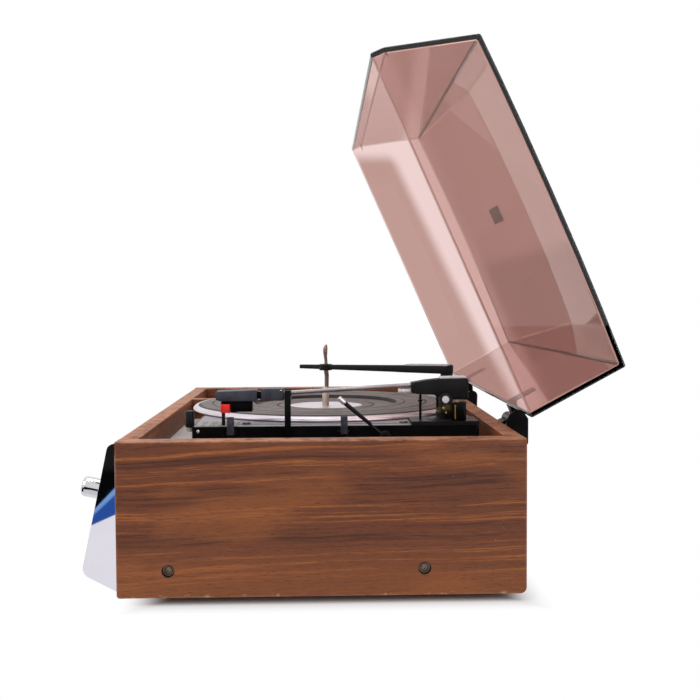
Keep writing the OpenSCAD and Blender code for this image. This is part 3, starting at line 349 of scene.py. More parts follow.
class Board:
    """The nodes of one finish, or of the world."""

    def __init__(self, name, world=False):
        self.material = (bpy.data.worlds if world else bpy.data.materials).new(name)
        self.material.use_nodes = True
        self.tree = self.material.node_tree
        self.shader = self.tree.nodes["Background" if world else "Principled BSDF"]
        self.place = self.make("ShaderNodeTexCoord", out="Object")

    def make(self, kind, settings=None, inputs=None, out=0):
        """A node of a type, with its settings and the values or links of its sockets."""
        node = self.tree.nodes.new(kind)
        for key, value in (settings or {}).items():
            if key == "stops":
                ramp = node.color_ramp.elements
                while len(ramp) < len(value):
                    ramp.new(0.5)
                for stop, (spot, colour) in zip(ramp, value):
                    stop.position = spot
                    stop.color = colour
            else:
                setattr(node, key, value)
        for key, value in (inputs or {}).items():
            self.feed(node.inputs[key], value)
        return Wire(self, node, out)

    def feed(self, socket, value):
        """Links a wire to a socket, or sets the socket's value."""
        if isinstance(value, Wire):
            self.tree.links.new(value.socket, socket)
        else:
            socket.default_value = value

    def axes(self, centre=None):
        """The object's own x, y and z, from its origin or from a place."""
        spot = self.place
        if centre is not None:
            spot = self.make("ShaderNodeMapping", {"vector_type": "POINT"},
                             {"Vector": spot, "Location": -centre})
        split = self.make("ShaderNodeSeparateXYZ", None, {0: spot})
        return split["X"], split["Y"], split["Z"]

    def join(self, x, y, z):
        """A vector of three values."""
        return self.make("ShaderNodeCombineXYZ", None, {0: x, 1: y, 2: z})

    def noise(self, scale, detail=2.0, rough=0.5, where=None):
        """Cloudy noise from 0 to 1."""
        return self.make("ShaderNodeTexNoise", None, {
            "Vector": where or self.place, "Scale": scale, "Detail": detail, "Roughness": rough})

    def step(self, value, low, high):
        """A smooth step from 0 at low to 1 at high."""
        return self.make("ShaderNodeMapRange", {"interpolation_type": "SMOOTHSTEP"},
                         {"Value": value, "From Min": low, "From Max": high})

    def band(self, value, centre, inner, outer):
        """1 about a centre, falling to 0 between two half widths."""
        return 1.0 - self.step(abs(value - centre), inner, outer)

    def ramp(self, value, *stops):
        """A colour ramp through (place, colour) stops."""
        return self.make("ShaderNodeValToRGB", {"stops": stops}, {0: value})

    def blend(self, amount, a, b):
        """One colour laid over another by an amount."""
        return self.make("ShaderNodeMix", {"data_type": "RGBA"}, {0: amount, 6: a, 7: b}, out=2)

    def biggest(self, a, b):
        """The larger of two values."""
        return self.make("ShaderNodeMath", {"operation": "MAXIMUM"}, {0: a, 1: b})

    def shown(self):
        """1 for what the camera sees, straight, mirrored or through clear plastic, and 0 for light."""
        path = self.make("ShaderNodeLightPath")
        bent = self.biggest(path["Is Glossy Ray"], path["Is Transmission Ray"])
        return self.biggest(path["Is Camera Ray"], bent)

    def glow(self, colour):
        """Makes the surface an even light of a colour and returns the material."""
        light = self.make("ShaderNodeEmission", None, {"Color": colour, "Strength": 1.0})
        self.tree.links.new(light.socket, self.tree.nodes["Material Output"].inputs["Surface"])
        return self.material

    def done(self, colour, rough, height=None, depth=0.0002, **constants):
        """Feeds the shader and returns the material."""
        self.feed(self.shader.inputs["Base Color"], colour)
        self.feed(self.shader.inputs["Roughness"], rough)
        if height is not None:
            bump = self.make("ShaderNodeBump", None, {"Strength": 1.0, "Distance": depth, "Height": height})
            self.feed(self.shader.inputs["Normal"], bump)
        for key, value in constants.items():
            self.feed(self.shader.inputs[key.replace("_", " ")], value)
        return self.material


def walnut(name, look, along, low, high, lean=0.0, seed=0.0):
    """Lacquered walnut whose grain runs along an axis, paler at the edges of its box, where it is worn and
    where a highlight is painted, and painted lighter towards its foot.
    """
    b = Board(name)
    x, y, z = b.axes()
    u, v, w = (y, z, x) if along == "Y" else (x, z, y)
    wave = b.noise(1.0, 2, 0.5, b.join(u * 5.0 + seed, v * 9.0, w * 9.0))
    bent = v - u * lean + wave * 0.014
    bands = b.noise(1.0, 3, 0.6, b.join(u * 1.8 + seed, bent * 105.0, w * 24.0))
    streaks = b.noise(1.0, 4, 0.65, b.join(u * 6.0 + seed, bent * 340.0, w * 90.0))
    fibre = b.noise(1.0, 2, 0.6, b.join(u * 40.0, bent * 1300.0, w * 700.0))
    pores = b.step(b.noise(1.0, 1, 0.5, b.join(u * 120.0, v * 2300.0, w * 2300.0)), 0.6, 0.74)
    grain = bands * 0.46 + streaks * 0.36 + fibre * 0.18
    colour = b.ramp(grain, (0.4, look.walnut_dark), (0.48, look.walnut), (0.525, look.walnut),
                    (0.59, look.walnut_light))
    glow = b.step(b.noise(1.0, 2, 0.5, b.join(u * 8.0 + seed * 2, bent * 26.0, w * 12.0)), 0.52, 0.68)
    colour = b.blend(glow * 0.5, colour, look.walnut_light)
    # Painted light: each board turns paler over its lowest 60 mm, as if lit from the pale floor below
    colour = b.blend(b.step(z, low.z + 0.06, low.z) * 0.5, colour, look.walnut_light)
    colour = b.blend(pores * 0.4, colour, tone(52, 28, 21))
    # Paler edges: rubbed lacquer in patches, and also a painted highlight along the edges, strongest along the
    # top edge
    edge = b.biggest(b.step(z, high.z - 0.0022, high.z - 0.0004), b.step(z, low.z + 0.0018, low.z + 0.0003))
    edge = b.biggest(edge, b.step(abs(y - (low.y + high.y) / 2), (high.y - low.y) / 2 - 0.0018,
                                  (high.y - low.y) / 2 - 0.0003))
    worn = edge * b.step(b.noise(60.0, 4, 0.65), 0.3, 0.62)
    top_edge_highlight = b.step(z, high.z - 0.0009, high.z - 0.0002) * 0.5 + 0.2
    colour = b.blend(worn * top_edge_highlight, colour, look.walnut_worn_highlight)
    chips = b.step(b.noise(420.0, 3, 0.6), 0.66, 0.72) * b.step(b.noise(14.0, 2), 0.46, 0.62)
    rear = b.step(y, high.y - 0.09, high.y - 0.004)
    nicks = b.step(z, low.z + 0.0035, low.z + 0.0008) * b.step(b.noise(90.0, 3, 0.7), 0.58, 0.66)
    colour = b.blend(b.biggest(chips * rear * 0.75, nicks * 0.4), colour, tone(214, 180, 150))
    rough = 0.38 + streaks * 0.16 + worn * 0.12
    return b.done(colour, rough, grain * 0.5 - pores * 0.5, 0.00035, Specular_IOR_Level=0.28)


def plain(name, colour, second, rough, scale, depth, shine):
    """A moulded, painted or board finish: two close tones in clouds, with a fine grain and dull spots."""
    b = Board(name)
    clouds = b.noise(scale, 4, 0.6)
    grit = b.noise(900.0, 2, 0.6)
    shade = b.blend(b.step(clouds, 0.35, 0.68), colour, second)
    return b.done(shade, rough - 0.08 + clouds * 0.16, grit, depth, Specular_IOR_Level=shine)


def metal(name, colour, rough, brush):
    """A metal with handling smears and, where it is brushed or turned, fine lines along an axis."""
    b = Board(name)
    smears = b.noise(38.0, 4, 0.6)
    if brush is None:
        lines = b.noise(700.0, 2, 0.5)
    else:
        lines = b.noise(1.0, 2, 0.6, b.make("ShaderNodeMapping", {"vector_type": "POINT"},
                                            {"Vector": b.place, "Scale": brush}))
    dull = tuple(c * 0.82 for c in colour[:3]) + (1.0,)
    shade = b.blend(b.step(smears, 0.4, 0.75), colour, dull)
    return b.done(shade, rough + b.step(smears, 0.45, 0.8) * 0.12 + lines * 0.06, lines, 0.00004, Metallic=1.0)


def lathe_metal(name, colour, rough, centre, axis="Z"):
    """Metal with turned rings round an axis through a place."""
    b = Board(name)
    x, y, z = b.axes(centre)
    side = y if axis == "Z" else z
    reach = (x * x + side * side) ** 0.5
    rings = b.noise(1.0, 2, 0.6, b.join(reach * 2600.0, 0.0, 0.0))
    smears = b.noise(26.0, 4, 0.6)
    dull = tuple(k * 0.85 for k in colour[:3]) + (1.0,)
    shade = b.blend(b.step(smears, 0.4, 0.75), colour, dull)
    return b.done(shade, rough + rings * 0.1 + b.step(smears, 0.5, 0.8) * 0.1, rings, 0.00003, Metallic=1.0)


def ribbed_rubber(name, look, centre, rings):
    """The mat's rubber: painted shade in the grooves and at the steps on rings round the spindle, dust on the
    lands.
    """
    b = Board(name)
    x, y, _ = b.axes(centre)
    reach = (x * x + y * y) ** 0.5 * 1000.0
    groove_shade = None
    for radius, width in rings:
        ring = b.band(reach, radius + width / 2, width * 0.35, width * 0.75)
        groove_shade = ring if groove_shade is None else b.biggest(groove_shade, ring)
    dust = b.step(b.noise(55.0, 5, 0.65), 0.42, 0.7)
    lines = b.noise(1.0, 1, 0.5, b.join(reach * 2.4, 0.0, 0.0))
    shade = b.blend(dust * 0.4 + lines * 0.1, look.mat, look.mat_dust)
    # Painted shade darkens the grooves and the steps
    shade = b.blend(groove_shade * 0.9, shade, tone(34, 29, 29))
    return b.done(shade, 0.55 + dust * 0.2, lines * 0.4 - groove_shade, 0.0002)


def smoked_acrylic(name, look):
    """Clear smoked plastic: its tint lies in its thickness, with hairline scuffs on its faces and painted shade
    along its front fold.
    """
    b = Board(name)
    x, y, z = b.axes()
    lean = math.radians(open_angle)
    back, rise = y * 1000.0 - (shift_y + hinge_y), z * 1000.0 - hinge_z
    depth = back * math.cos(lean) - rise * math.sin(lean) + hinge_y
    height = back * math.sin(lean) + rise * math.cos(lean) + hinge_z
    # Painted shade: a dark line along the cover's front fold
    fold_shade = b.band(height, 154.0, 0.5, 1.2) * b.step(depth, -160.0, -166.0)
    haze = b.noise(9.0, 4, 0.6)
    hair = b.noise(1.0, 3, 0.7, b.join(x * 40.0 + y * 260.0, y * 40.0 - z * 320.0, z * 60.0))
    scuff = b.step(hair, 0.66, 0.72) * b.step(b.noise(7.0, 3, 0.6), 0.5, 0.66)
    rough = 0.012 + b.step(haze, 0.5, 0.8) * 0.03 + scuff * 0.2
    tint = b.make("ShaderNodeVolumeAbsorption", None, {"Color": look.smoke, "Density": look.smoke_density})
    b.tree.links.new(tint.socket, b.tree.nodes["Material Output"].inputs["Volume"])
    shade = b.blend(fold_shade * 0.6, tone(252, 250, 249), tone(120, 84, 80))
    return b.done(shade, rough, Transmission_Weight=1.0, IOR=1.49)


def clear_window(name):
    """The dial's clear window, a little dusty in patches."""
    b = Board(name)
    dust = b.step(b.noise(30.0, 4, 0.6), 0.5, 0.8)
    return b.done(tone(245, 250, 252), 0.03 + dust * 0.08, Transmission_Weight=1.0, IOR=1.5)


def printed_scale(name, centre, up):
    """The dial's black board with pale tick marks in two rows."""
    b = Board(name)
    x, y, z = b.axes(centre)
    along = x * 1000.0
    rise = (y * up.y + z * up.z) * 1000.0
    fine = b.band(along % 5.0, 2.5, 0.2, 0.35)
    bold = b.band(along % 25.0, 12.5, 0.35, 0.5)
    near = b.band(abs(rise), 2.2, 0.9, 1.0)
    wide = b.band(abs(rise), 2.8, 1.6, 1.7)
    rule = b.band(rise, 0.0, 0.15, 0.25)
    ends = b.band(along, 0.0, 100.5, 101.0)
    marks = b.biggest(b.biggest(fine * near, bold * wide), rule) * ends
    cloud = b.noise(90.0, 3)
    base = b.blend(cloud, tone(14, 15, 18), tone(24, 25, 29))
    return b.done(b.blend(marks, base, tone(206, 214, 205)), 0.4 + cloud * 0.1, cloud, 0.00003)


def printed_plate(name, low, high):
    """The pale escutcheon with rows of plain printed blocks beside its lever."""
    b = Board(name)
    x, y, _ = b.axes()
    along = (y - low.y) * 1000.0
    across = (x - low.x) * 1000.0
    cells = b.band(along % 9.0, 4.5, 2.3, 2.6)
    rows = b.band(across % 12.0, 7.0, 2.6, 2.9)
    gaps = b.step(b.noise(1.0, 0, 0.5, b.join(along * 0.55, across * 0.3, 0.0)), 0.4, 0.46)
    inside = b.band(along, 13.5, 10.5, 11.0) * b.band(across, 18.0, 15.0, 15.5)
    cloud = b.noise(70.0, 4, 0.6)
    base = b.blend(cloud, tone(150, 146, 143), tone(180, 176, 172))
    return b.done(b.blend(cells * rows * gaps * inside * 0.96, base, tone(16, 16, 16)), 0.5 + cloud * 0.15,
                  cloud, 0.00003, Specular_IOR_Level=0.15)


# Sizes and colours that a user would change


def swatch(name, description, default):
    """A colour that a user may change."""
    return bpy.props.FloatVectorProperty(name=name, description=description, subtype="COLOR", size=4, min=0,
                                         max=1, default=default)


def measure(name, what, low, high, default):
    """A size in millimetres that a user may change."""
    return bpy.props.FloatProperty(name=name, description=what + " in millimetres", min=low, max=high,
                                   default=default)


class StereoFinish(bpy.types.PropertyGroup):
    """Colours of the stereo's finishes."""

    walnut: swatch("Walnut", "Middle tone of the walnut", tone(112, 61, 36))
    walnut_dark: swatch("Dark streaks", "Dark streaks of the walnut", tone(78, 42, 29))
    walnut_light: swatch("Light streaks", "Light streaks of the walnut", tone(156, 90, 45))
    # Walnut for the edges: rubbed lacquer, and also a painted highlight where the edges face the light
    walnut_worn_highlight: swatch("Worn and highlit edges", "Walnut where its edges have rubbed, with a painted highlight", tone(208, 146, 112))
    mat: swatch("Mat", "Rubber of the platter's mat", tone(102, 92, 90))
    mat_dust: swatch("Mat dust", "Dusty lands of the mat", tone(130, 119, 116))
    smoke: swatch("Smoke", "Tint of the dust cover's plastic", (0.529, 0.14, 0.047, 1.0))
    smoke_density: bpy.props.FloatProperty(
        name="Smoke density", description="How strongly the dust cover's plastic is tinted", min=0, max=1000,
        default=162.0)
    red: swatch("Red", "Reject lever and dial pointer", tone(250, 32, 18))


class StereoSizes(bpy.types.PropertyGroup):
    """Sizes of the stereo's softened edges and its stage."""

    wood_edge: measure("Wood edge", "Rounding of the wooden edges", 0.2, 4, 1.2)
    worn_corner: measure("Worn corner", "Rounding of the lower rear corner, twice the front one's,", 1, 9, 5.5)
    cover_edge: measure("Cover edge", "Outer rounding of the dust cover", 0.5, 5, 1.8)
    cover_wall: measure("Cover wall", "Wall of the dust cover", 1, 5, 3.8)
    floor_half: bpy.props.FloatProperty(
        name="Floor half width", description="Half the width of the floor", subtype="DISTANCE", unit="LENGTH",
        min=1, max=20, default=6.0)


def finishes():
    """The finishes a user has set."""
    return bpy.context.scene.stereo_finish


def sizes():
    """The sizes a user has set."""
    return bpy.context.scene.stereo_sizes


# Two tones, roughness, size of the clouds, depth of the grain and shine
plains = {
    "black_plastic": ((11, 10, 12), (22, 20, 23), 0.42, 70, 0.0001, 0.2),
    "black_gloss": ((6, 6, 7), (12, 12, 13), 0.3, 40, 0.00003, 0.09),
    "grey_plastic": ((50, 50, 62), (66, 65, 76), 0.42, 80, 0.0001, 0.35),
    "tab_grey": ((40, 41, 48), (66, 66, 74), 0.5, 240, 0.0001, 0.3),
    "pale_grey": ((206, 204, 208), (184, 182, 186), 0.45, 80, 0.0001, 0.5),
    "pale_stem": ((190, 184, 178), (168, 162, 156), 0.4, 60, 0.0001, 0.5),
    # Bright steel of the arm's strip and screws, drawn matte white: a painted highlight in place of its
    # reflection
    "white_enamel": ((238, 234, 238), (224, 220, 225), 0.4, 200, 0.00003, 0.5),
    "red_plastic": (None, (214, 26, 18), 0.35, 300, 0.00003, 0.5),
    "dial_ink": ((222, 228, 216), (200, 208, 198), 0.5, 400, 0.00002, 0.5),
    "lead_sleeving": ((168, 136, 122), (120, 92, 84), 0.5, 500, 0.0001, 0.5),
    "black_rubber": ((20, 20, 20), (34, 33, 33), 0.75, 90, 0.0002, 0.5),
    "hardboard": ((104, 66, 44), (84, 52, 35), 0.7, 160, 0.0003, 0.5),
    "pale_board": ((214, 206, 202), (190, 180, 176), 0.55, 24, 0.0002, 0.5),
    "circuit_brown": ((150, 96, 48), (128, 78, 38), 0.4, 120, 0.0001, 0.5),
}
# Colour, roughness and the scale of the brushed lines
metals = {
    "bright_steel": ((214, 211, 208), 0.16, (300, 40, 300)),
    "bright_chrome": ((222, 222, 226), 0.05, None),
    "spindle_steel": ((188, 170, 158), 0.34, (200, 200, 900)),
    "blade_steel": ((148, 122, 114), 0.4, (200, 200, 900)),
    "tube_steel": ((166, 158, 160), 0.2, (300, 40, 300)),
    "zinc_steel": ((176, 178, 172), 0.34, (40, 900, 900)),
    "dark_screw": ((136, 119, 102), 0.3, None),
    "pulley_brass": ((205, 165, 82), 0.25, None),
    "black_aluminium": ((52, 52, 54), 0.42, None),
}
kept = {}


def shared(look):
    """A finish that several pieces share, by its name, made when it is first asked for."""
    if not isinstance(look, str):
        return look
    if look not in kept:
        if look in metals:
            colour, rough, brush = metals[look]
            kept[look] = metal(look, tone(*colour), rough, brush)
        else:
            colour, second, *rest = plains[look]
            kept[look] = plain(look, tone(*colour) if colour else tuple(finishes().red), tone(*second), *rest)
    return kept[look]


def on_slope(x, drop, out=0.0):
    """The matrix of a place on the sloped front, drop millimetres below the cabinet top, facing out."""
    reach = 7 + (drop - 8) * math.tan(tilt)
    spot = at(x, front_y - reach, top_z - drop)
    way = Vector((0, -math.cos(tilt), math.sin(tilt)))
    up = Vector((0, math.sin(tilt), math.cos(tilt)))
    turn = Matrix((Vector((1, 0, 0)), up, way)).transposed().to_4x4()
    return Matrix.Translation(spot + way * out / 1000) @ turn


# Pieces


class StereoCabinet(bpy.types.Operator):
    """Models the walnut panels and rails, with rounded edges, screw recesses and worn lower corners."""

    bl_idname = "stereo.cabinet"
    bl_label = "Walnut cabinet"

    def execute(self, context):
        edge = sizes().wood_edge
        for side, sign in (("side_right", 1), ("side_left", -1)):
            ob, low, high = filled(side)
            for end, worn in ((high.y, sizes().worn_corner), (low.y, sizes().worn_corner / 2)):
                pick(ob, "EDGE", lambda a, b: all(abs(p.y - end) + abs(p.z - low.z) < 1e-5 for p in (a, b)))
                bpy.ops.mesh.bevel(offset=worn / 1000, segments=6, affect="EDGES")
                bpy.ops.object.mode_set(mode="OBJECT")
            recess = [(0, -8), (5.5, -8), (5.5, 3), (0, 3)]
            cut(ob, *[turned(recess, at(sign * half_w, y, screw_z), (sign, 0, 0), 40) for y in (-131, 87)])
            soften(ob, edge, 3, 50)
            look = walnut("walnut_" + side, finishes(), "Y", low, high, 0.03, 3.1 if sign > 0 else 8.4)
            seat(ob, side + "_panel", "cabinet", "walnut", look, side)
        for node, along in (("rear_rail", "X"), ("divider", "Y")):
            ob, low, high = filled(node)
            soften(ob, edge * 0.7, 3)
            look = walnut("walnut_" + node, finishes(), along, low, high, 0.03, 5.7)
            seat(ob, node + "_board", "cabinet", "walnut", look, node)
        low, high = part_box("front_rails")
        rail = block(-254, 254, front_y, front_y + 16, top_z - 31, top_z)
        sill = block(-254, 254, front_y, front_y + 16, 7, 27)
        ob = soften(join(rail, sill), edge * 0.7, 3)
        seat(ob, "front_rail_boards", "cabinet", "walnut",
             walnut("walnut_front", finishes(), "X", low, high, 0.02, 1.9), "front_rails")
        return {"FINISHED"}


class StereoPanels(bpy.types.Operator):
    """Finishes the hidden boards: bottom, back, storage tray and motor board."""

    bl_idname = "stereo.panels"
    bl_label = "Inner boards"

    def execute(self, context):
        dress("hardboard", "bottom_panel", "back_panel", "storage_tray")
        dress("pale_board", "motor_board")
        return {"FINISHED"}


class StereoFeetScrews(bpy.types.Operator):
    """Models the recessed side screws and finishes the rubber feet."""

    bl_idname = "stereo.feet_screws"
    bl_label = "Feet and side screws"

    def execute(self, context):
        dress("black_rubber", "feet")
        head = [(0, -20), (2, -20), (2, 0), (4.9, 0.1), (4.9, 4.2), (4.6, 4.6), (4.1, 4.5), (3.9, 4.0),
                (3.5, 4.0), (3.3, 4.7), (2.6, 5.1), (1.6, 5.2), (1.4, 3.4), (0, 3.2)]
        cup = [(4.95, 1.4), (5.42, 1.4), (5.42, 7.7), (5.2, 7.9), (4.95, 7.7), (4.95, 1.4)]
        middle = about(at(0, -22, screw_z), 180, (0, 0, 1))
        for profile, name, look, nodes in ((head, "side_screw_heads", "dark_screw", ("side_screws",)),
                                           (cup, "side_screw_cups", "black_plastic", ())):
            front = turned(profile, at(half_w - 8, -131, screw_z), (1, 0, 0), 36)
            rear = copy(front, shifted(0, 218, 0))
            ob = join(front, rear, copy(front, middle), copy(rear, middle))
            seat(ob, name, "cabinet", look, look, *nodes)
        return {"FINISHED"}


class StereoFront(bpy.types.Operator):
    """Models the bright sloped front with its roll, nose, dial window and knob holes."""

    bl_idname = "stereo.front"
    bl_label = "Bright front"

    def outline(self, inset, back):
        """The side outline, drawn in by an inset, whose back stands this far out of the cabinet's front."""
        roll, nose, drop, length, under = 7.0, 8.5, 8.0, 127.0, math.radians(28)
        lean = math.cos(tilt) * roll - math.sin(tilt) * drop - nose
        rise = math.cos(under) * length - nose
        span = math.cos(tilt - under)
        centre = ((lean * math.cos(under) + rise * math.sin(tilt)) / span,
                  (rise * math.cos(tilt) - lean * math.sin(under)) / span)
        sweep = 90 - math.degrees(under) + math.degrees(tilt)
        points = [(back, 1.0 + inset)]
        points += arc((0, drop), roll - inset, [i * 85 / 16 - 90 for i in range(17)])
        points += arc(centre, nose - inset, [i * sweep / 24 - math.degrees(tilt) for i in range(25)])
        points.append((back, length - inset / math.cos(under) - back * math.tan(under)))
        return [(front_y - out, top_z - drop) for out, drop in points]

    def execute(self, context):
        ob = prism(self.outline(0, 0), -half_w, half_w)
        hollow = prism(self.outline(2, -1), 3 - half_w, half_w - 3)
        window = move(block(-113, 113, -shift_y - 13, -shift_y + 13, -8, 8), on_slope(dial_x, dial_drop))
        holes = []
        for knob in knobs:
            spot = on_slope(*knob[1:3])
            holes.append(turned([(0, -8), (3.4, -8), (3.4, 6), (0, 6)], spot.translation, spot.col[2].xyz, 32))
        cut(ob, hollow, window, *holes)
        soften(ob, 0.5, 2, 55)
        b = Board("bright_front")
        smears = b.noise(22.0, 5, 0.62)
        rubbed = b.make("ShaderNodeMapping", None, {"Vector": b.place, "Scale": (30, 900, 900)})
        hair = b.noise(1.0, 2, 0.6, rubbed)
        shade = b.blend(b.step(smears, 0.35, 0.75), tone(238, 238, 241), tone(234, 234, 238))
        look = b.done(shade, 0.012 + b.step(smears, 0.5, 0.85) * 0.03 + hair * 0.01, Metallic=1.0)
        seat(ob, "bright_front_skin", "cabinet", "bright_front", look, "front_bezel", angle=15)
        return {"FINISHED"}


class StereoDial(bpy.types.Operator):
    """Finishes the dial's window, printed scale with plain numbers, and pointer."""

    bl_idname = "stereo.dial"
    bl_label = "Dial"

    def execute(self, context):
        glass = block(-118, 118, -shift_y - 18, -shift_y + 18, -4, -2)
        soften(glass, 0.3, 2)
        move(glass, on_slope(dial_x, dial_drop))
        seat(glass, "dial_pane", "cabinet", "clear_window", clear_window("clear_window"), "dial_window")
        spot = on_slope(dial_x, dial_drop, -10)
        dress(printed_scale("printed_scale", spot.translation, spot.col[1].xyz), "dial_scale")
        dress("red_plastic", "dial_pointer")
        rows = ((6.6, ("88", "92", "96", "100", "104", "108")), (-9.4, ("54", "60", "75", "100", "130", "160")))
        made = []
        for height, words in rows:
            for i, word in enumerate(words):
                settle()
                bpy.ops.object.text_add()
                text = bpy.context.object
                text.data.body = word
                text.data.size = 0.0046
                text.data.align_x = "CENTER"
                take(text)
                bpy.ops.object.convert(target="MESH")
                made.append(move(bpy.context.object, on_slope(dial_x - 87.5 + i * 35, dial_drop, -9.9)
                                 @ shifted(0, height, 0)))
        seat(join(*made), "dial_numbers", "cabinet", "pale_trim", "dial_ink")
        return {"FINISHED"}


class StereoKnobs(bpy.types.Operator):
    """Models the turned knobs, with fluted grips on all but the tuning knob."""

    bl_idname = "stereo.knobs"
    bl_label = "Knobs"

    def execute(self, context):
        facets = 72
        for name, x, drop, r, out in knobs:
            spot = on_slope(x, drop)
            way = spot.col[2].xyz
            foot, head = 5.2, out - 2.4
            shaft = [(0, -10.9), (3, -10.9), (3, 1)]
            skirt = [(r - 0.6, 1), (r, 1.5), (r, 3.6), (r - 0.5, 4.1), (r - 0.8, 4.6), (r - 0.3, foot)]
            crown = [(r - 0.3, head), (r - 0.9, out - 0.8), (r - 1.8, out - 0.1), (r - 2.3, out + 0.25),
                     (r - 3.0, out + 0.55), (r - 3.5, out + 0.3), (0, out + 0.75)]
            ob = turned(shaft + skirt + crown, spot.translation, way, facets)

            def grip(c, n, spot=spot, way=way, foot=foot, head=head):
                """Every second facet of the grip."""
                rise = (c - spot.translation).dot(way) * 1000
                if not (foot < rise < head):
                    return False
                flat = c - spot.translation - way * rise / 1000
                turn = math.atan2(flat.dot(spot.col[1].xyz), flat.dot(spot.col[0].xyz))
                return int(round(turn / (2 * math.pi) * facets - 0.5)) % 2 == 0

            if name != "tuning":
                pick(ob, "FACE", grip)
                bpy.ops.mesh.inset(thickness=0.00012, depth=-0.00045, use_individual=True)
                bpy.ops.object.mode_set(mode="OBJECT")
            mark = move(block(-0.5, 0.5, -shift_y + r * 0.35, -shift_y + r * 0.72, out, out + 1.1), spot)
            cut(ob, mark)
            look = lathe_metal("knob_metal_" + name, tone(212, 211, 214), 0.02, spot.translation, "Y")
            seat(ob, name + "_knob_turned", name, "knob_metal", look, name + "_knob", angle=15)
        return {"FINISHED"}


class StereoDeck(bpy.types.Operator):
    """Finishes the changer's deck: skirt, plate, escutcheon, mounts and small screws."""

    bl_idname = "stereo.deck"
    bl_label = "Changer deck"

    def execute(self, context):
        dress("black_gloss", "deck_skirt")
        b = Board("deck_enamel_and_shadow")
        x = b.axes()[0]
        cloud = b.noise(50.0, 4, 0.6)
        enamel_and_shadow = b.blend(cloud, tone(166, 157, 164), tone(146, 138, 144))
        # Painted shadow of the platter's rim: a dark band on the plate just in front of the rim
        enamel_and_shadow = b.blend(b.band(x, 0.199, 0.0025, 0.0045) * 0.9, enamel_and_shadow, tone(46, 41, 43))
        enamel_and_shadow = b.blend(b.step(x, 0.21, 0.2112), enamel_and_shadow, tone(9, 8, 8))
        look = b.done(enamel_and_shadow, 0.4 + cloud * 0.1, cloud, 0.00005, Specular_IOR_Level=0.3)
        dress(look, "deck_plate", "transit_screws")
        dress("black_rubber", "deck_mounts")
        dress(printed_plate("printed_plate", *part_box("escutcheon")), "escutcheon")
        ob = turned([(0, -1), (1.6, -1), (1.6, 0.3), (1.3, 0.7), (0.6, 0.9), (0.45, 0.6), (0, 0.5)],
                    at(215, -111.6, 140.9), (1, 0, 0), 24)
        seat(ob, "skirt_screw", "cabinet", "bright_steel", "bright_steel")
        return {"FINISHED"}


class StereoPlatter(bpy.types.Operator):
    """Turns the platter, its ribbed mat, bearing and bent spindle."""

    bl_idname = "stereo.platter"
    bl_label = "Platter and spindle"

    def execute(self, context):
        centre = at(spindle_x, spindle_y, 0)
        under = [(6.05, 135.4), (14, 135.4), (14, 145.6), (98, 145.6), (98, 135.8), (101, 135.8), (101, 145.6)]
        rim = [(139.2, 145.6), (139.8, 145.9), (140, 146.4), (140, 146.8), (139.5, 147.9), (138.4, 149.0),
               (137, 149.8), (135.6, 150.2), (134.8, 150.2), (134.5, 149.9)]
        ob = turned(under + rim + [(134.5, 147.2), (6.05, 147.2), (6.05, 135.4)], centre, (0, 0, 1), 160)
        seat(ob, "platter_casting", "platter", "platter_metal",
             lathe_metal("platter_metal", tone(218, 210, 216), 0.34, centre), "platter")
        rings = [(50, 2.2), (84, 1.2), (106, 2.2), (119, 1.2)]
        profile = [(39, 147.2), (134.2, 147.2), (134.2, 149.6), (133.6, 150.1), (131.6, 150.9), (129, 151.3)]
        for r, w in sorted(rings, reverse=True):
            land = 151.3 if r > 76 else 147.9
            if r == 50:
                # The step down to the inner land
                profile += [(76.2, 151.3), (75.8, 151.1), (75.2, 148.1), (74.6, 147.9)]
            profile += [(r + w, land), (r + w - 0.2, land - 0.5), (r + 0.2, land - 0.5), (r, land)]
        profile += [(39.6, 147.9), (39, 147.6), (39, 147.2)]
        ob = turned(profile, centre, (0, 0, 1), 144)
        # The two extra rings paint shade at the step down to the inner land and at the mat's outer edge
        look = ribbed_rubber("mat_rubber", finishes(), centre, rings + [(72.4, 4), (131.6, 2.4)])
        seat(ob, "platter_mat_ribbed", "platter", "mat_rubber", look, "platter_mat", angle=25)
        dress("bright_steel", "platter_bearing")
        post = turned([(0, 125), (5.15, 125), (5.15, 129), (3.05, 129), (3.05, 147.2), (3.55, 147.2),
                       (3.55, 166.6), (3.2, 167.3), (0, 167.3)], centre, (0, 0, 1), 40)
        seat(post, "changer_spindle", "cabinet", "bright_steel", "spindle_steel", "spindle")
        bends = ((5.4, 166.4, 2.2), (5.4, 172, 2.25), (5.6, 178.4, 2.3), (5.0, 183, 2.55), (4.9, 187, 2.1),
                 (4.8, 194, 1.65), (4.3, 199, 1.8), (4.1, 203, 2.25), (4.1, 206.5, 2.4), (4.4, 209, 2.1),
                 (4.9, 211, 1.4), (5.2, 212.1, 0.5))
        blade = limb([(48.6, y, z, r, 0.9) for y, z, r in bends], 20)
        seat(blade, "changer_spindle_blade", "cabinet", "bright_steel", "blade_steel")
        return {"FINISHED"}


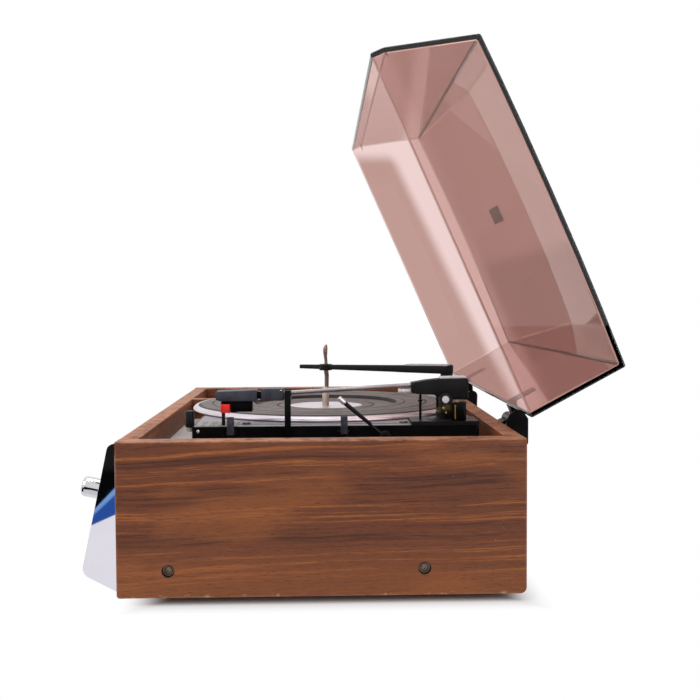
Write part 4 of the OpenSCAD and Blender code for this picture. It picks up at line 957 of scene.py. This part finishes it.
class StereoTonearm(bpy.types.Operator):
    """Models the tonearm: block, tube, headshell, cartridge, pivots, rest and lift."""

    bl_idname = "stereo.tonearm"
    bl_label = "Tonearm"

    def arm(self, x, y, z):
        """The block with its strip and weight screw, and the tube."""
        side = ((-31, 6), (-31, 15), (-18, 17.2), (-4, 18.6), (20, 19), (22, 17.5), (22, 0.5), (20, -0.8),
                (-5, -0.8), (-9, 3.8), (-22, 4.3))
        ob = prism([(y + a, z + b) for a, b in side], x - 7.5, x + 7.5)
        soften(ob, 0.9, 3, 20)
        boss = turned([(0, -7.45), (4.9, -7.45), (5, -7), (5, 7), (4.9, 7.45), (0, 7.45)], at(x, y, z),
                      (1, 0, 0), 36)
        seat(join(ob, boss), "tonearm_block_moulding", "arm", "black_plastic", "black_plastic",
             "tonearm_block")
        # The strip and the weight screw are bright steel, drawn matte white as a painted highlight
        side = ((-4, 18.5), (-4, 20.1), (-3.6, 20.4), (19.6, 20.8), (20, 20.5), (20, 18.9))
        ob = prism([(y + a, z + b) for a, b in side], x - 5, x + 5)
        soften(ob, 0.25, 2)
        seat(ob, "arm_top_strip", "arm", "bright_steel", "white_enamel")
        ob = turned([(0, -1), (2.0, -1), (2.0, 7.6), (1.6, 8), (1.6, 8.8), (2.4, 9.2), (2.4, 11), (1.7, 11.6),
                     (0, 11.6)], at(x, y - 31, z + 7.2), (0, -1, 0), 28)
        seat(ob, "arm_weight_screw", "arm", "bright_steel", "white_enamel")
        slope = math.radians(3.2)
        way = Vector((0, math.cos(slope), math.sin(slope)))
        start = at(x, -52.7, z + 4.9)
        length = 140.1
        ob = turned([(0, 0), (1.8, 0), (2.1, 0.4), (2.1, length - 0.4), (1.8, length), (0, length)], start, way,
                    40)
        seat(ob, "arm_tube", "arm", "bright_steel", "tube_steel", "tonearm_tube")

    def head(self, x):
        """The headshell with its neck and screw, and the cartridge with its leads."""
        low, high, under = -96.7, -59.2, 167.0
        shell = prism([(low, under + 1.6), (low, under + 8.3), (low + 1, under + 8.9), (high, under + 10.1),
                       (high, under), (low + 4, under)], x - 9.5, x + 9.5)
        cut(shell, block(x - 7.9, x + 7.9, low + 2.4, high - 1.6, under - 2, under + 7.9))
        soften(shell, 0.6, 3, 25)
        collar = soften(block(x - 6.5, x + 6.5, -55.7, -34.7, under, under + 11), 1.0, 3)
        neck = slab(x - 4, x + 4, high - 0.4, -55.3, under + 1.6, under + 8.4)
        seat(neck, "headshell_neck", "arm", "black_plastic", "black_gloss")
        ribs = [slab(x - 6.7, x + 6.7, a, a + 0.9, under - 0.1, under + 11.1, 0.25)
                for a in (-52, -49.8, -47.6)]
        seat(join(shell, collar, *ribs), "headshell_moulding", "arm", "grey_plastic", "grey_plastic",
             "headshell")
        clamp = turned([(0, -0.6), (1.1, -0.6), (1.1, 0.3), (0.8, 0.6), (0, 0.6)],
                       at(x + 6.5, -37.2, under + 8.7), (1, 0, 0), 20)
        seat(clamp, "headshell_clamp_screw", "arm", "bright_steel", "bright_chrome")
        body = prism([(-92.1, 161.1), (-92.1, 174.7), (-63.6, 174.7), (-63.6, 157.1), (-86.1, 157.1)],
                     x - 7, x + 7)
        soften(body, 0.5, 2, 20)
        holder = slab(x - 2, x + 2, -87.1, -78.1, 156.1, 157.4)
        needle = turned([(0, 0), (0.3, 0.1), (0.7, 1.6), (0, 1.8)], at(x, -85.6, 154.7), (0, 0, 1), 16)
        seat(join(body, holder, needle), "cartridge_body", "arm", "black_plastic", "black_gloss", "cartridge")
        strands = []
        sag = ((-64.4, 168.6), (-62, 166.2), (-58.6, 165.4), (-54.4, 165.6), (-51, 168.4))
        for i, drop in enumerate((0.0, 0.7, 0.3, 0.9)):
            path = [at(x + 4.8 - i * 3.2, a, b - drop) for a, b in sag]
            for a, b in zip(path, path[1:]):
                end = (b - a).length * 1000 + 0.2
                strands.append(turned([(0, -0.2), (0.45, -0.2), (0.45, end), (0, end)], a, b - a, 10))
        seat(join(*strands), "cartridge_leads", "arm", "pulley_brass", "lead_sleeving")

    def bearings(self, x, y, z):
        """The pivot screws, the base, and the yoke with its pins, side plate and wire."""
        screw = turned([(0, -9), (1.5, -9), (1.5, 0), (3.3, 0), (3.3, 0.5), (2.9, 1.2), (0, 1.4)],
                       at(x + 12.5, y, z), (1, 0, 0), 32)
        cut(screw, block(x + 13.4, x + 15, y - 0.4, y + 0.4, z - 5, z + 5))
        move(screw, about(at(x + 12.5, y, z), 35, (1, 0, 0)))
        other = copy(screw, about(at(x, y, z), 180, (0, 0, 1)))
        # The pivot screws are bright steel, drawn matte white as a painted highlight
        seat(join(screw, other), "pivot_screw_heads", "arm_swivel", "bright_steel", "white_enamel",
             "pivot_screws")
        dress("black_plastic", "tonearm_base")
        b = Board("bronzed_yoke")
        low_part = b.step(b.axes()[2], 0.1645, 0.162)
        cloud = b.noise(120.0, 3, 0.6)
        bronze = b.blend(b.step(cloud, 0.42, 0.58), tone(92, 74, 42), tone(34, 34, 24))
        shade = b.blend(low_part, b.blend(cloud, tone(11, 10, 12), tone(22, 20, 23)), bronze)
        b.feed(b.shader.inputs["Metallic"], low_part * 0.9)
        dress(b.done(shade, 0.4 + cloud * 0.1, cloud, 0.00005, Specular_IOR_Level=0.3), "tonearm_yoke")
        fin = soften(prism([(118.2, 148.4), (130.4, 148.4), (130.4, 164.2), (129.4, 165.2), (119.4, 165.2),
                            (118.2, 164)], 210, 212), 0.4, 2)
        seat(fin, "arm_side_plate", "cabinet", "black_plastic", "black_gloss")
        wire = turned([(0, 150), (0.45, 150), (0.45, 161.6), (0.8, 161.8), (0.8, 162.8), (0, 163)],
                      at(212.5, 121.4, 0), (0, 0, 1), 16)
        seat(wire, "arm_side_wire", "cabinet", "pulley_brass", "pulley_brass")
        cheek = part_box("tonearm_yoke")[1].x * 1000
        pins = [turned([(0, -0.6), (r, -0.6), (r, 0.4), (r * 0.7, 0.8), (0, 0.8)], at(cheek, a, b),
                       (1, 0, 0), 20) for a, b, r in ((111.4, 159.6, 1.3), (113.6, 155.4, 1.0))]
        seat(join(*pins), "yoke_pins", "arm_swivel", "bright_steel", "spindle_steel")

    def rest(self, x, y):
        """The rest post and the lift rod."""
        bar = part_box("tonearm_rest")
        leg = block(bar[1].x * 1000 - 3, bar[1].x * 1000, -33.5, -27.9, bar[0].z * 1000, bar[1].z * 1000)
        arm = block(x - 4, bar[1].x * 1000 - 2, -33.5, -27.9, bar[1].z * 1000 - 11.8, bar[1].z * 1000 - 6.8)
        hook = block(x + 4, x + 7, -33.5, -27.9, bar[1].z * 1000 - 7.8, bar[1].z * 1000)
        ob = join(*[soften(p, 0.5, 2) for p in (leg, arm, hook)])
        seat(ob, "arm_rest_post", "cabinet", "black_plastic", "black_gloss", "tonearm_rest")
        ob = turned([(0, 139), (1.2, 139), (1.2, 164.5), (2.2, 164.7), (2.2, 166.3), (1.2, 166.5), (1.2, 170.9),
                     (0.7, 171.4), (0, 171.4)], at(x, y - 22, 0), (0, 0, 1), 24)
        seat(ob, "lift_rod_turned", "lifter", "black_plastic", "black_gloss", "lift_rod")

    def execute(self, context):
        # The pivot
        x, y, z = 195, 113.3, 167.5
        self.arm(x, y, z)
        self.head(x)
        self.bearings(x, y, z)
        self.rest(x, y)
        return {"FINISHED"}


class StereoOverarm(bpy.types.Operator):
    """Models the overarm that steadies a stack of records, with its boss, strip and post."""

    bl_idname = "stereo.overarm"
    bl_label = "Overarm"

    def execute(self, context):
        # From the post to the spindle, past which the bar runs to one side
        run, aside = 150.4, 11.5
        x, z = 142.5, 186.6
        y = spindle_y + math.sqrt(run * run - (x - spindle_x) * (x - spindle_x))
        turn = math.degrees(math.atan2(spindle_y - y, spindle_x - x) + math.asin(aside / run))
        length = math.sqrt(run * run - aside * aside) + 25
        spin = about(at(x, y, z), turn, (0, 0, 1))
        outline = arc((x, y), 6.5, range(90, 271, 15))
        outline += [(x + 44, y - 6.5), (x + 60, y - 4), (x + length - 3.2, y - 3.2)]
        outline += arc((x + length - 3.2, y), 3.2, range(-75, 76, 15))
        outline += [(x + length - 3.2, y + 3.2), (x + 60, y + 4), (x + 44, y + 6.5)]
        bar = plate(outline, z, z + 8.2)
        take(bar)
        bpy.ops.object.mode_set(mode="EDIT")
        bpy.ops.mesh.select_all(action="SELECT")
        bpy.ops.mesh.bisect(plane_co=at(x, y, z + 8), plane_no=Vector((4, 0, length)).normalized(),
                            use_fill=True, clear_outer=True)
        soften(shut(bar), 0.7, 3, 40)
        far = x + length - 33
        crown = 8 - 4 * (length - 33) / length
        boss = turned([(0, -1), (6.4, -1), (7, -0.4), (7, crown), (6.4, crown + 0.6), (3.4, crown + 0.6),
                       (3, crown), (0, crown)], at(far, y, z), (0, 0, 1), 40)
        ob = move(join(bar, boss), spin)
        seat(ob, "overarm_bar", "overarm", "black_plastic", "black_plastic", "overarm")
        side = ((-3.6, 7.7), (-3.6, 9.3), (43, 8.3), (43, 6.7))
        strip = push([at(x + a, y - 6.2, z + b) for a, b in side], Vector((0, 0.0124, 0)))
        seat(move(soften(strip, 0.3, 2), spin), "overarm_strip", "overarm", "grey_plastic", "pale_grey")
        dress("black_plastic", "overarm_shaft")
        ob = turned([(4.05, 145), (10, 145), (10, 147), (6.9, 148.7), (6.5, 149.2), (6.5, 182.1), (6.1, 182.6),
                     (4.05, 182.6), (4.05, 145)], at(x, y, 0), (0, 0, 1), 40)
        seat(ob, "overarm_post_sleeve", "cabinet", "black_plastic", "black_plastic", "overarm_sleeve")
        return {"FINISHED"}


class StereoLevers(bpy.types.Operator):
    """Models the cue, reject, speed, size and mode levers."""

    bl_idname = "stereo.levers"
    bl_label = "Deck levers"

    def cue(self):
        """The cue lever with its hub, sleeve and bright tip."""
        root = at(222.7, 57, 136)
        slope = math.radians(50)
        way = Vector((0, -math.sin(slope), math.cos(slope)))
        hub = turned([(2.55, -2.3), (5, -2.3), (5, 2.3), (2.55, 2.3), (2.55, -2.3)], root, (1, 0, 0), 32)
        seat(hub, "cue_hub", "cue", "black_plastic", "black_plastic")
        rod = turned([(0, 4), (0.9, 4), (0.9, 17.4), (0, 17.4)], root, way, 20)
        seat(rod, "cue_rod", "cue", "bright_steel", "black_aluminium", "cue_lever")
        sleeve = turned([(0, 16.6), (1.4, 16.6), (1.7, 17.1), (2.0, 47.2), (0, 47.4)], root, way, 28)
        seat(sleeve, "cue_sleeve", "cue", "black_plastic", "black_plastic")
        tip = turned([(0, 47.2), (2.2, 47.2), (2.4, 47.5), (2.4, 53.8), (2.1, 54.6), (0, 54.6)], root, way, 32)
        seat(tip, "cue_tip", "cue", "cue_chrome", "bright_chrome")

    def reject(self):
        """The reject lever with its red cap."""
        x, y = 207, -89.4
        stem = slab(x - 1.3, x + 1.3, y - 1.5, y + 1.5, 142.2, 158.5)
        slide = slab(201, 211, y - 8, y + 8, 142, 142.8, 0.15)
        seat(join(stem, slide), "reject_stem", "reject", "black_plastic", "black_plastic", "reject_lever")
        cap = soften(block(202.8, 211.2, y - 2.2, y + 6, 157.1, 164.5), 0.5, 3)
        seat(cap, "reject_cap", "reject", "red_plastic", "red_plastic")

    def speed(self):
        """The speed lever with its pale stem and black knob."""
        x, y, z = 190, -122.2, 138
        arm = slab(x - 2, x + 2, y - 2, y + 14.5, z, z + 3.6)
        foot = slab(x - 5, x + 5, y + 7.6, y + 12.6, z, z + 3.6)
        seat(join(arm, foot), "speed_slide_arm", "speed", "black_plastic", "black_plastic", "speed_lever")
        stem = turned([(0, 0), (2.9, 0), (3.1, 0.3), (3.1, 4.6), (0, 4.6)], at(x, y, z), (0, 0, 1), 28)
        seat(stem, "speed_stem", "speed", "pale_trim", "pale_stem")
        knob = turned([(0, 4), (3.7, 4), (4.1, 4.4), (4.3, 6), (4.3, 18.2), (4.0, 18.9), (3.4, 19.2),
                       (0, 19.2)], at(x, y, z), (0, 0, 1), 32)
        seat(knob, "speed_knob", "speed", "black_plastic", "black_plastic")

    def tabs(self):
        """The grey tabs of the size and mode levers."""
        for body, y in (("size", -82.1), ("mode", 20.1)):
            tab = prism([(y - 3.15, 138), (y + 3.15, 138), (y + 3.15, 153.7), (y + 2.65, 154.2),
                         (y - 2.65, 154.2), (y - 3.15, 153.7)], 217, 220)
            parts = [soften(tab, 0.4, 2, 20), slab(206.5, 218, y - 2, y + 2, 138, 141.6),
                     slab(206.5, 211.5, y - 5, y + 5, 138, 141.6)]
            seat(join(*parts), body + "_tab", body, "grey_plastic", "tab_grey", body + "_lever")

    def execute(self, context):
        self.cue()
        self.reject()
        self.speed()
        self.tabs()
        return {"FINISHED"}


class StereoCover(bpy.types.Operator):
    """Models the smoked dust cover as a rounded shell, opened about its hinge line."""

    bl_idname = "stereo.cover"
    bl_label = "Dust cover"

    def execute(self, context):
        walls = [(171, 141), (-171, 141), (-171, 154), (-148.3, 234.4)]
        crown = [(-110, 235.7), (-60, 236.8), (0, 237.3), (60, 237.1), (110, 236.2), (164, 234.4)]
        ob = prism(walls + crown, -258, 258)
        pick(ob, "FACE", lambda c, n: n.z < -0.9)
        bpy.ops.mesh.delete(type="FACE")
        bpy.ops.object.mode_set(mode="OBJECT")
        finish_modifier(ob, "SOLIDIFY", thickness=sizes().cover_wall / 1000, offset=-1, use_even_offset=True)
        soften(ob, sizes().cover_edge, 4, 10)
        opened = about(at(0, hinge_y, hinge_z), -open_angle, (1, 0, 0))
        look = smoked_acrylic("smoked_acrylic", finishes())
        seat(move(ob, opened), "smoked_cover", "cover", "smoked_acrylic", look, "dust_cover", angle=8)
        badge = slab(-24, 32, -13, 5, 234.4, 235.1)
        seat(move(badge, opened), "cover_bare_plate", "cover", "black_plastic", "black_gloss")
        return {"FINISHED"}


class StereoHinges(bpy.types.Operator):
    """Finishes the black hinges and models the cheek plates at their outer ends."""

    bl_idname = "stereo.hinges"
    bl_label = "Hinges"

    def execute(self, context):
        dress("black_gloss", "hinge_leaves", "hinge_blocks")
        side = [(174.6, 121.4), (194.4, 121.4), (195.2, 123), (195.2, 146), (190, 153.5), (183, 154),
                (177.5, 150.5), (174.6, 145.5)]
        cheeks = [soften(prism(side, a, a + 2.5), 0.7, 3, 20) for a in (178.1, -180.6)]
        seat(join(*cheeks), "hinge_cheeks", "cabinet", "black_plastic", "black_gloss")
        return {"FINISHED"}


class StereoWorks(bpy.types.Operator):
    """Finishes the works inside the cabinet and under the deck."""

    bl_idname = "stereo.works"
    bl_label = "Inner works"

    def execute(self, context):
        dress("zinc_steel", "control_pots", "chassis", "power_transformer", "motor")
        dress("circuit_brown", "circuit_board")
        dress("black_aluminium", "heat_sink")
        dress("black_rubber", "idler_wheel")
        dress("pulley_brass", "motor_pulley")
        return {"FINISHED"}


class StereoRear(bpy.types.Operator):
    """Finishes the sockets and the mains inlet on the back."""

    bl_idname = "stereo.rear"
    bl_label = "Rear fittings"

    def execute(self, context):
        dress("black_plastic", "rear_sockets")
        return {"FINISHED"}


class StereoStage(bpy.types.Operator):
    """Lays the pale floor and sets the world, the studio cards, the lamps and the camera."""

    bl_idname = "stereo.stage"
    bl_label = "Stage"

    def lamp(self, name, place, aim, size, power):
        """A white softbox at a place, aimed at another."""
        settle()
        bpy.ops.object.light_add(type="AREA", location=place)
        ob = bpy.context.object
        ob.name = name
        ob.data.size = size
        ob.data.energy = power
        ob.rotation_euler = (Vector(aim) - Vector(place)).to_track_quat("-Z", "Y").to_euler()

    def card(self, name, points, look, mirrored):
        """A studio card that only mirrored light, or only light through clear plastic, meets."""
        ob = line(points)
        bpy.ops.mesh.edge_face_add()
        bpy.ops.object.mode_set(mode="OBJECT")
        ob.name = name
        ob.data.materials.append(look)
        ob.visible_camera = ob.visible_diffuse = ob.visible_volume_scatter = ob.visible_shadow = False
        ob.visible_glossy = mirrored
        ob.visible_transmission = not mirrored

    def sheet(self, a0, b0, a1, b1):
        """The four corners of a flat sheet."""
        return (a0, b0), (a1, b0), (a1, b1), (a0, b1)

    def table_edge(self):
        """What the bright end mirrors: a pale table with a blue rim, and the dark room past its front edge."""
        b = Board("table_edge")
        x, y, _ = b.axes()
        ahead = y * 1000.0 - shift_y
        blue = b.blend(b.step(ahead, -275.0, -281.0), tone(44, 82, 160), tone(120, 160, 220))
        inside = ahead + 265.7 - (x * 1000.0 - 590.0) * 0.27
        colour = b.blend(b.step(inside, 1.5, -1.5), tone(238, 235, 241), blue)
        colour = b.blend(b.step(ahead + (x * 1000.0 - 682.0) * 0.03, -283.5, -285.5), colour, tone(8, 8, 9))
        return b.glow(b.blend(b.step(x, 0.93, 1.02), colour, tone(30, 27, 26)))

    def cover_shade(self):
        """The backdrop behind the clear cover, with the cover's own soft shade on it."""
        b = Board("cover_shade")
        _, y, z = b.axes()
        # Places on the card, counted across and down in the picture's pixels
        pixels = 0.5805
        across = 321.4 + (y * 1000.0 - shift_y) * pixels
        down = 302.7 + (255.6 - z * 1000.0) * pixels
        inner = (across - 395.0) * 0.897 - (down - 165.0) * 0.441
        outer = (across - 417.8) * 0.913 - (down - 134.8) * 0.408
        shade = b.step(inner, 8.0, -5.0) * b.step(down, 150.0, 166.0)
        past = b.step(outer, 0.0, 16.0)
        fall = down + (across - 481.0) * 0.267
        deep = b.blend(b.step(fall, 256.0, 276.0), (0.9, 0.84, 0.85, 1), (0.58, 0.5, 0.49, 1))
        colour = b.blend(shade, (1.22, 1.2, 1.25, 1), (0.72, 0.57, 0.54, 1))
        return b.glow(b.blend(past, colour, deep))

    def lay_floor(self):
        """A matte floor under the stereo that turns to even white around it."""
        settle()
        bpy.ops.mesh.primitive_plane_add(size=2 * sizes().floor_half, location=(0, 0, 0))
        floor = bpy.context.object
        floor.name = "pale_floor"
        b = Board("pale_floor")
        x, y, _ = b.axes()
        away = b.biggest(abs(x) - 0.27, abs(y - shift_y / 1000 - 0.012) - 0.156)
        glow = b.make("ShaderNodeEmission", None, {"Color": (1, 1, 1, 1), "Strength": 1.0})
        matte = b.make("ShaderNodeBsdfDiffuse", None, {"Color": tone(236, 236, 238)})
        white = b.shown() * b.step(away, -0.012, 0.03)
        mixed = b.make("ShaderNodeMixShader", None, {0: white, 1: matte, 2: glow})
        b.tree.links.new(mixed.socket, b.tree.nodes["Material Output"].inputs["Surface"])
        floor.data.materials.append(b.material)

    def light(self):
        """The world, the cards that the bright front mirrors or the cover shows, and the lamps."""
        b = Board("soft_studio", world=True)
        b.feed(b.shader.inputs["Color"], (1, 1, 1, 1))
        b.feed(b.shader.inputs["Strength"], b.shown() * 0.5 + 0.5)
        bpy.context.scene.world = b.material

        self.card("table_card", [at(x, y, 0.8) for x, y in self.sheet(276, -1600, 1320, 1600)],
                  self.table_edge(), True)
        dark = Board("room_dark").glow(tone(30, 27, 26))
        self.card("room_card", [at(1330, y, z) for y, z in self.sheet(-1600, 0.9, 1600, 210)], dark, True)
        self.card("ceiling_flag", [at(x, y, 500) for x, y in self.sheet(262, -190, 420, -40)], dark, True)
        self.card("backdrop_card", [at(-600, y, z) for y, z in self.sheet(0, 30, 580, 780)],
                  self.cover_shade(), False)

        self.lamp("key_softbox", (1.3, -1.3, 1.7), (0, 0, 0.15), 1.4, 16)
        self.lamp("top_softbox", (0.1, 0.2, 2.0), (0, 0, 0.1), 1.6, 12)
        self.lamp("fill_softbox", (1.6, 1.3, 0.9), (0, 0, 0.2), 1.2, 6)

    def aim_camera(self):
        """The camera that was fitted to the photo."""
        settle()
        frame_px, focal_px, sensor = 700, 992.3, 36
        yaw, pitch, roll = math.radians(1.65), math.radians(2.46), math.radians(-0.29)
        way = Vector((-math.cos(pitch) * math.cos(yaw), math.cos(pitch) * math.sin(yaw), -math.sin(pitch)))
        right = way.cross(Vector((0, 0, 1))).normalized()
        up = right.cross(way)
        right, up = right * math.cos(roll) + up * math.sin(roll), up * math.cos(roll) - right * math.sin(roll)
        bpy.ops.object.camera_add()
        camera = bpy.context.object
        camera.name = "photo_camera"
        camera.data.sensor_width = sensor
        camera.data.lens = focal_px / frame_px * sensor
        camera.data.shift_y = -3.8 / frame_px
        camera.data.clip_start = 0.01
        camera.data.clip_end = 60
        stand = at(1109.15, 0.07, top_z + 115.6)
        camera.matrix_world = Matrix.Translation(stand) @ Matrix((right, up, -way)).transposed().to_4x4()
        bpy.context.scene.camera = camera

    def execute(self, context):
        self.lay_floor()
        self.light()
        self.aim_camera()
        bpy.context.scene.view_settings.view_transform = "Standard"
        return {"FINISHED"}


pieces = (StereoStage, StereoCabinet, StereoPanels, StereoFeetScrews, StereoFront, StereoDial, StereoKnobs,
          StereoDeck, StereoPlatter, StereoTonearm, StereoOverarm, StereoLevers, StereoCover, StereoHinges,
          StereoWorks, StereoRear)


class StereoPanel(bpy.types.Panel):
    """Lists the stereo's finishes, sizes and pieces."""

    bl_idname = "VIEW3D_PT_stereo"
    bl_label = "Compact stereo"
    bl_space_type = "VIEW_3D"
    bl_region_type = "UI"
    bl_category = "Stereo"

    def draw(self, context):
        column = self.layout.column()
        for group in (context.scene.stereo_finish, context.scene.stereo_sizes):
            for key in group.__annotations__:
                column.prop(group, key)
        for piece in pieces:
            column.operator(piece.bl_idname)


classes = (StereoFinish, StereoSizes) + pieces + (StereoPanel,)


def register():
    """Registers the classes and gives scenes their settings."""
    for item in classes:
        bpy.utils.register_class(item)
    bpy.types.Scene.stereo_finish = bpy.props.PointerProperty(type=StereoFinish)
    bpy.types.Scene.stereo_sizes = bpy.props.PointerProperty(type=StereoSizes)


def unregister():
    """Takes away what register added."""
    del bpy.types.Scene.stereo_sizes
    del bpy.types.Scene.stereo_finish
    for item in reversed(classes):
        bpy.utils.unregister_class(item)


def main():
    """Models every piece in order."""
    register()
    bpy.ops.stereo.stage()
    bpy.ops.stereo.cabinet()
    bpy.ops.stereo.panels()
    bpy.ops.stereo.feet_screws()
    bpy.ops.stereo.front()
    bpy.ops.stereo.dial()
    bpy.ops.stereo.knobs()
    bpy.ops.stereo.deck()
    bpy.ops.stereo.platter()
    bpy.ops.stereo.tonearm()
    bpy.ops.stereo.overarm()
    bpy.ops.stereo.levers()
    bpy.ops.stereo.cover()
    bpy.ops.stereo.hinges()
    bpy.ops.stereo.works()
    bpy.ops.stereo.rear()


if __name__ == "__main__":
    main()
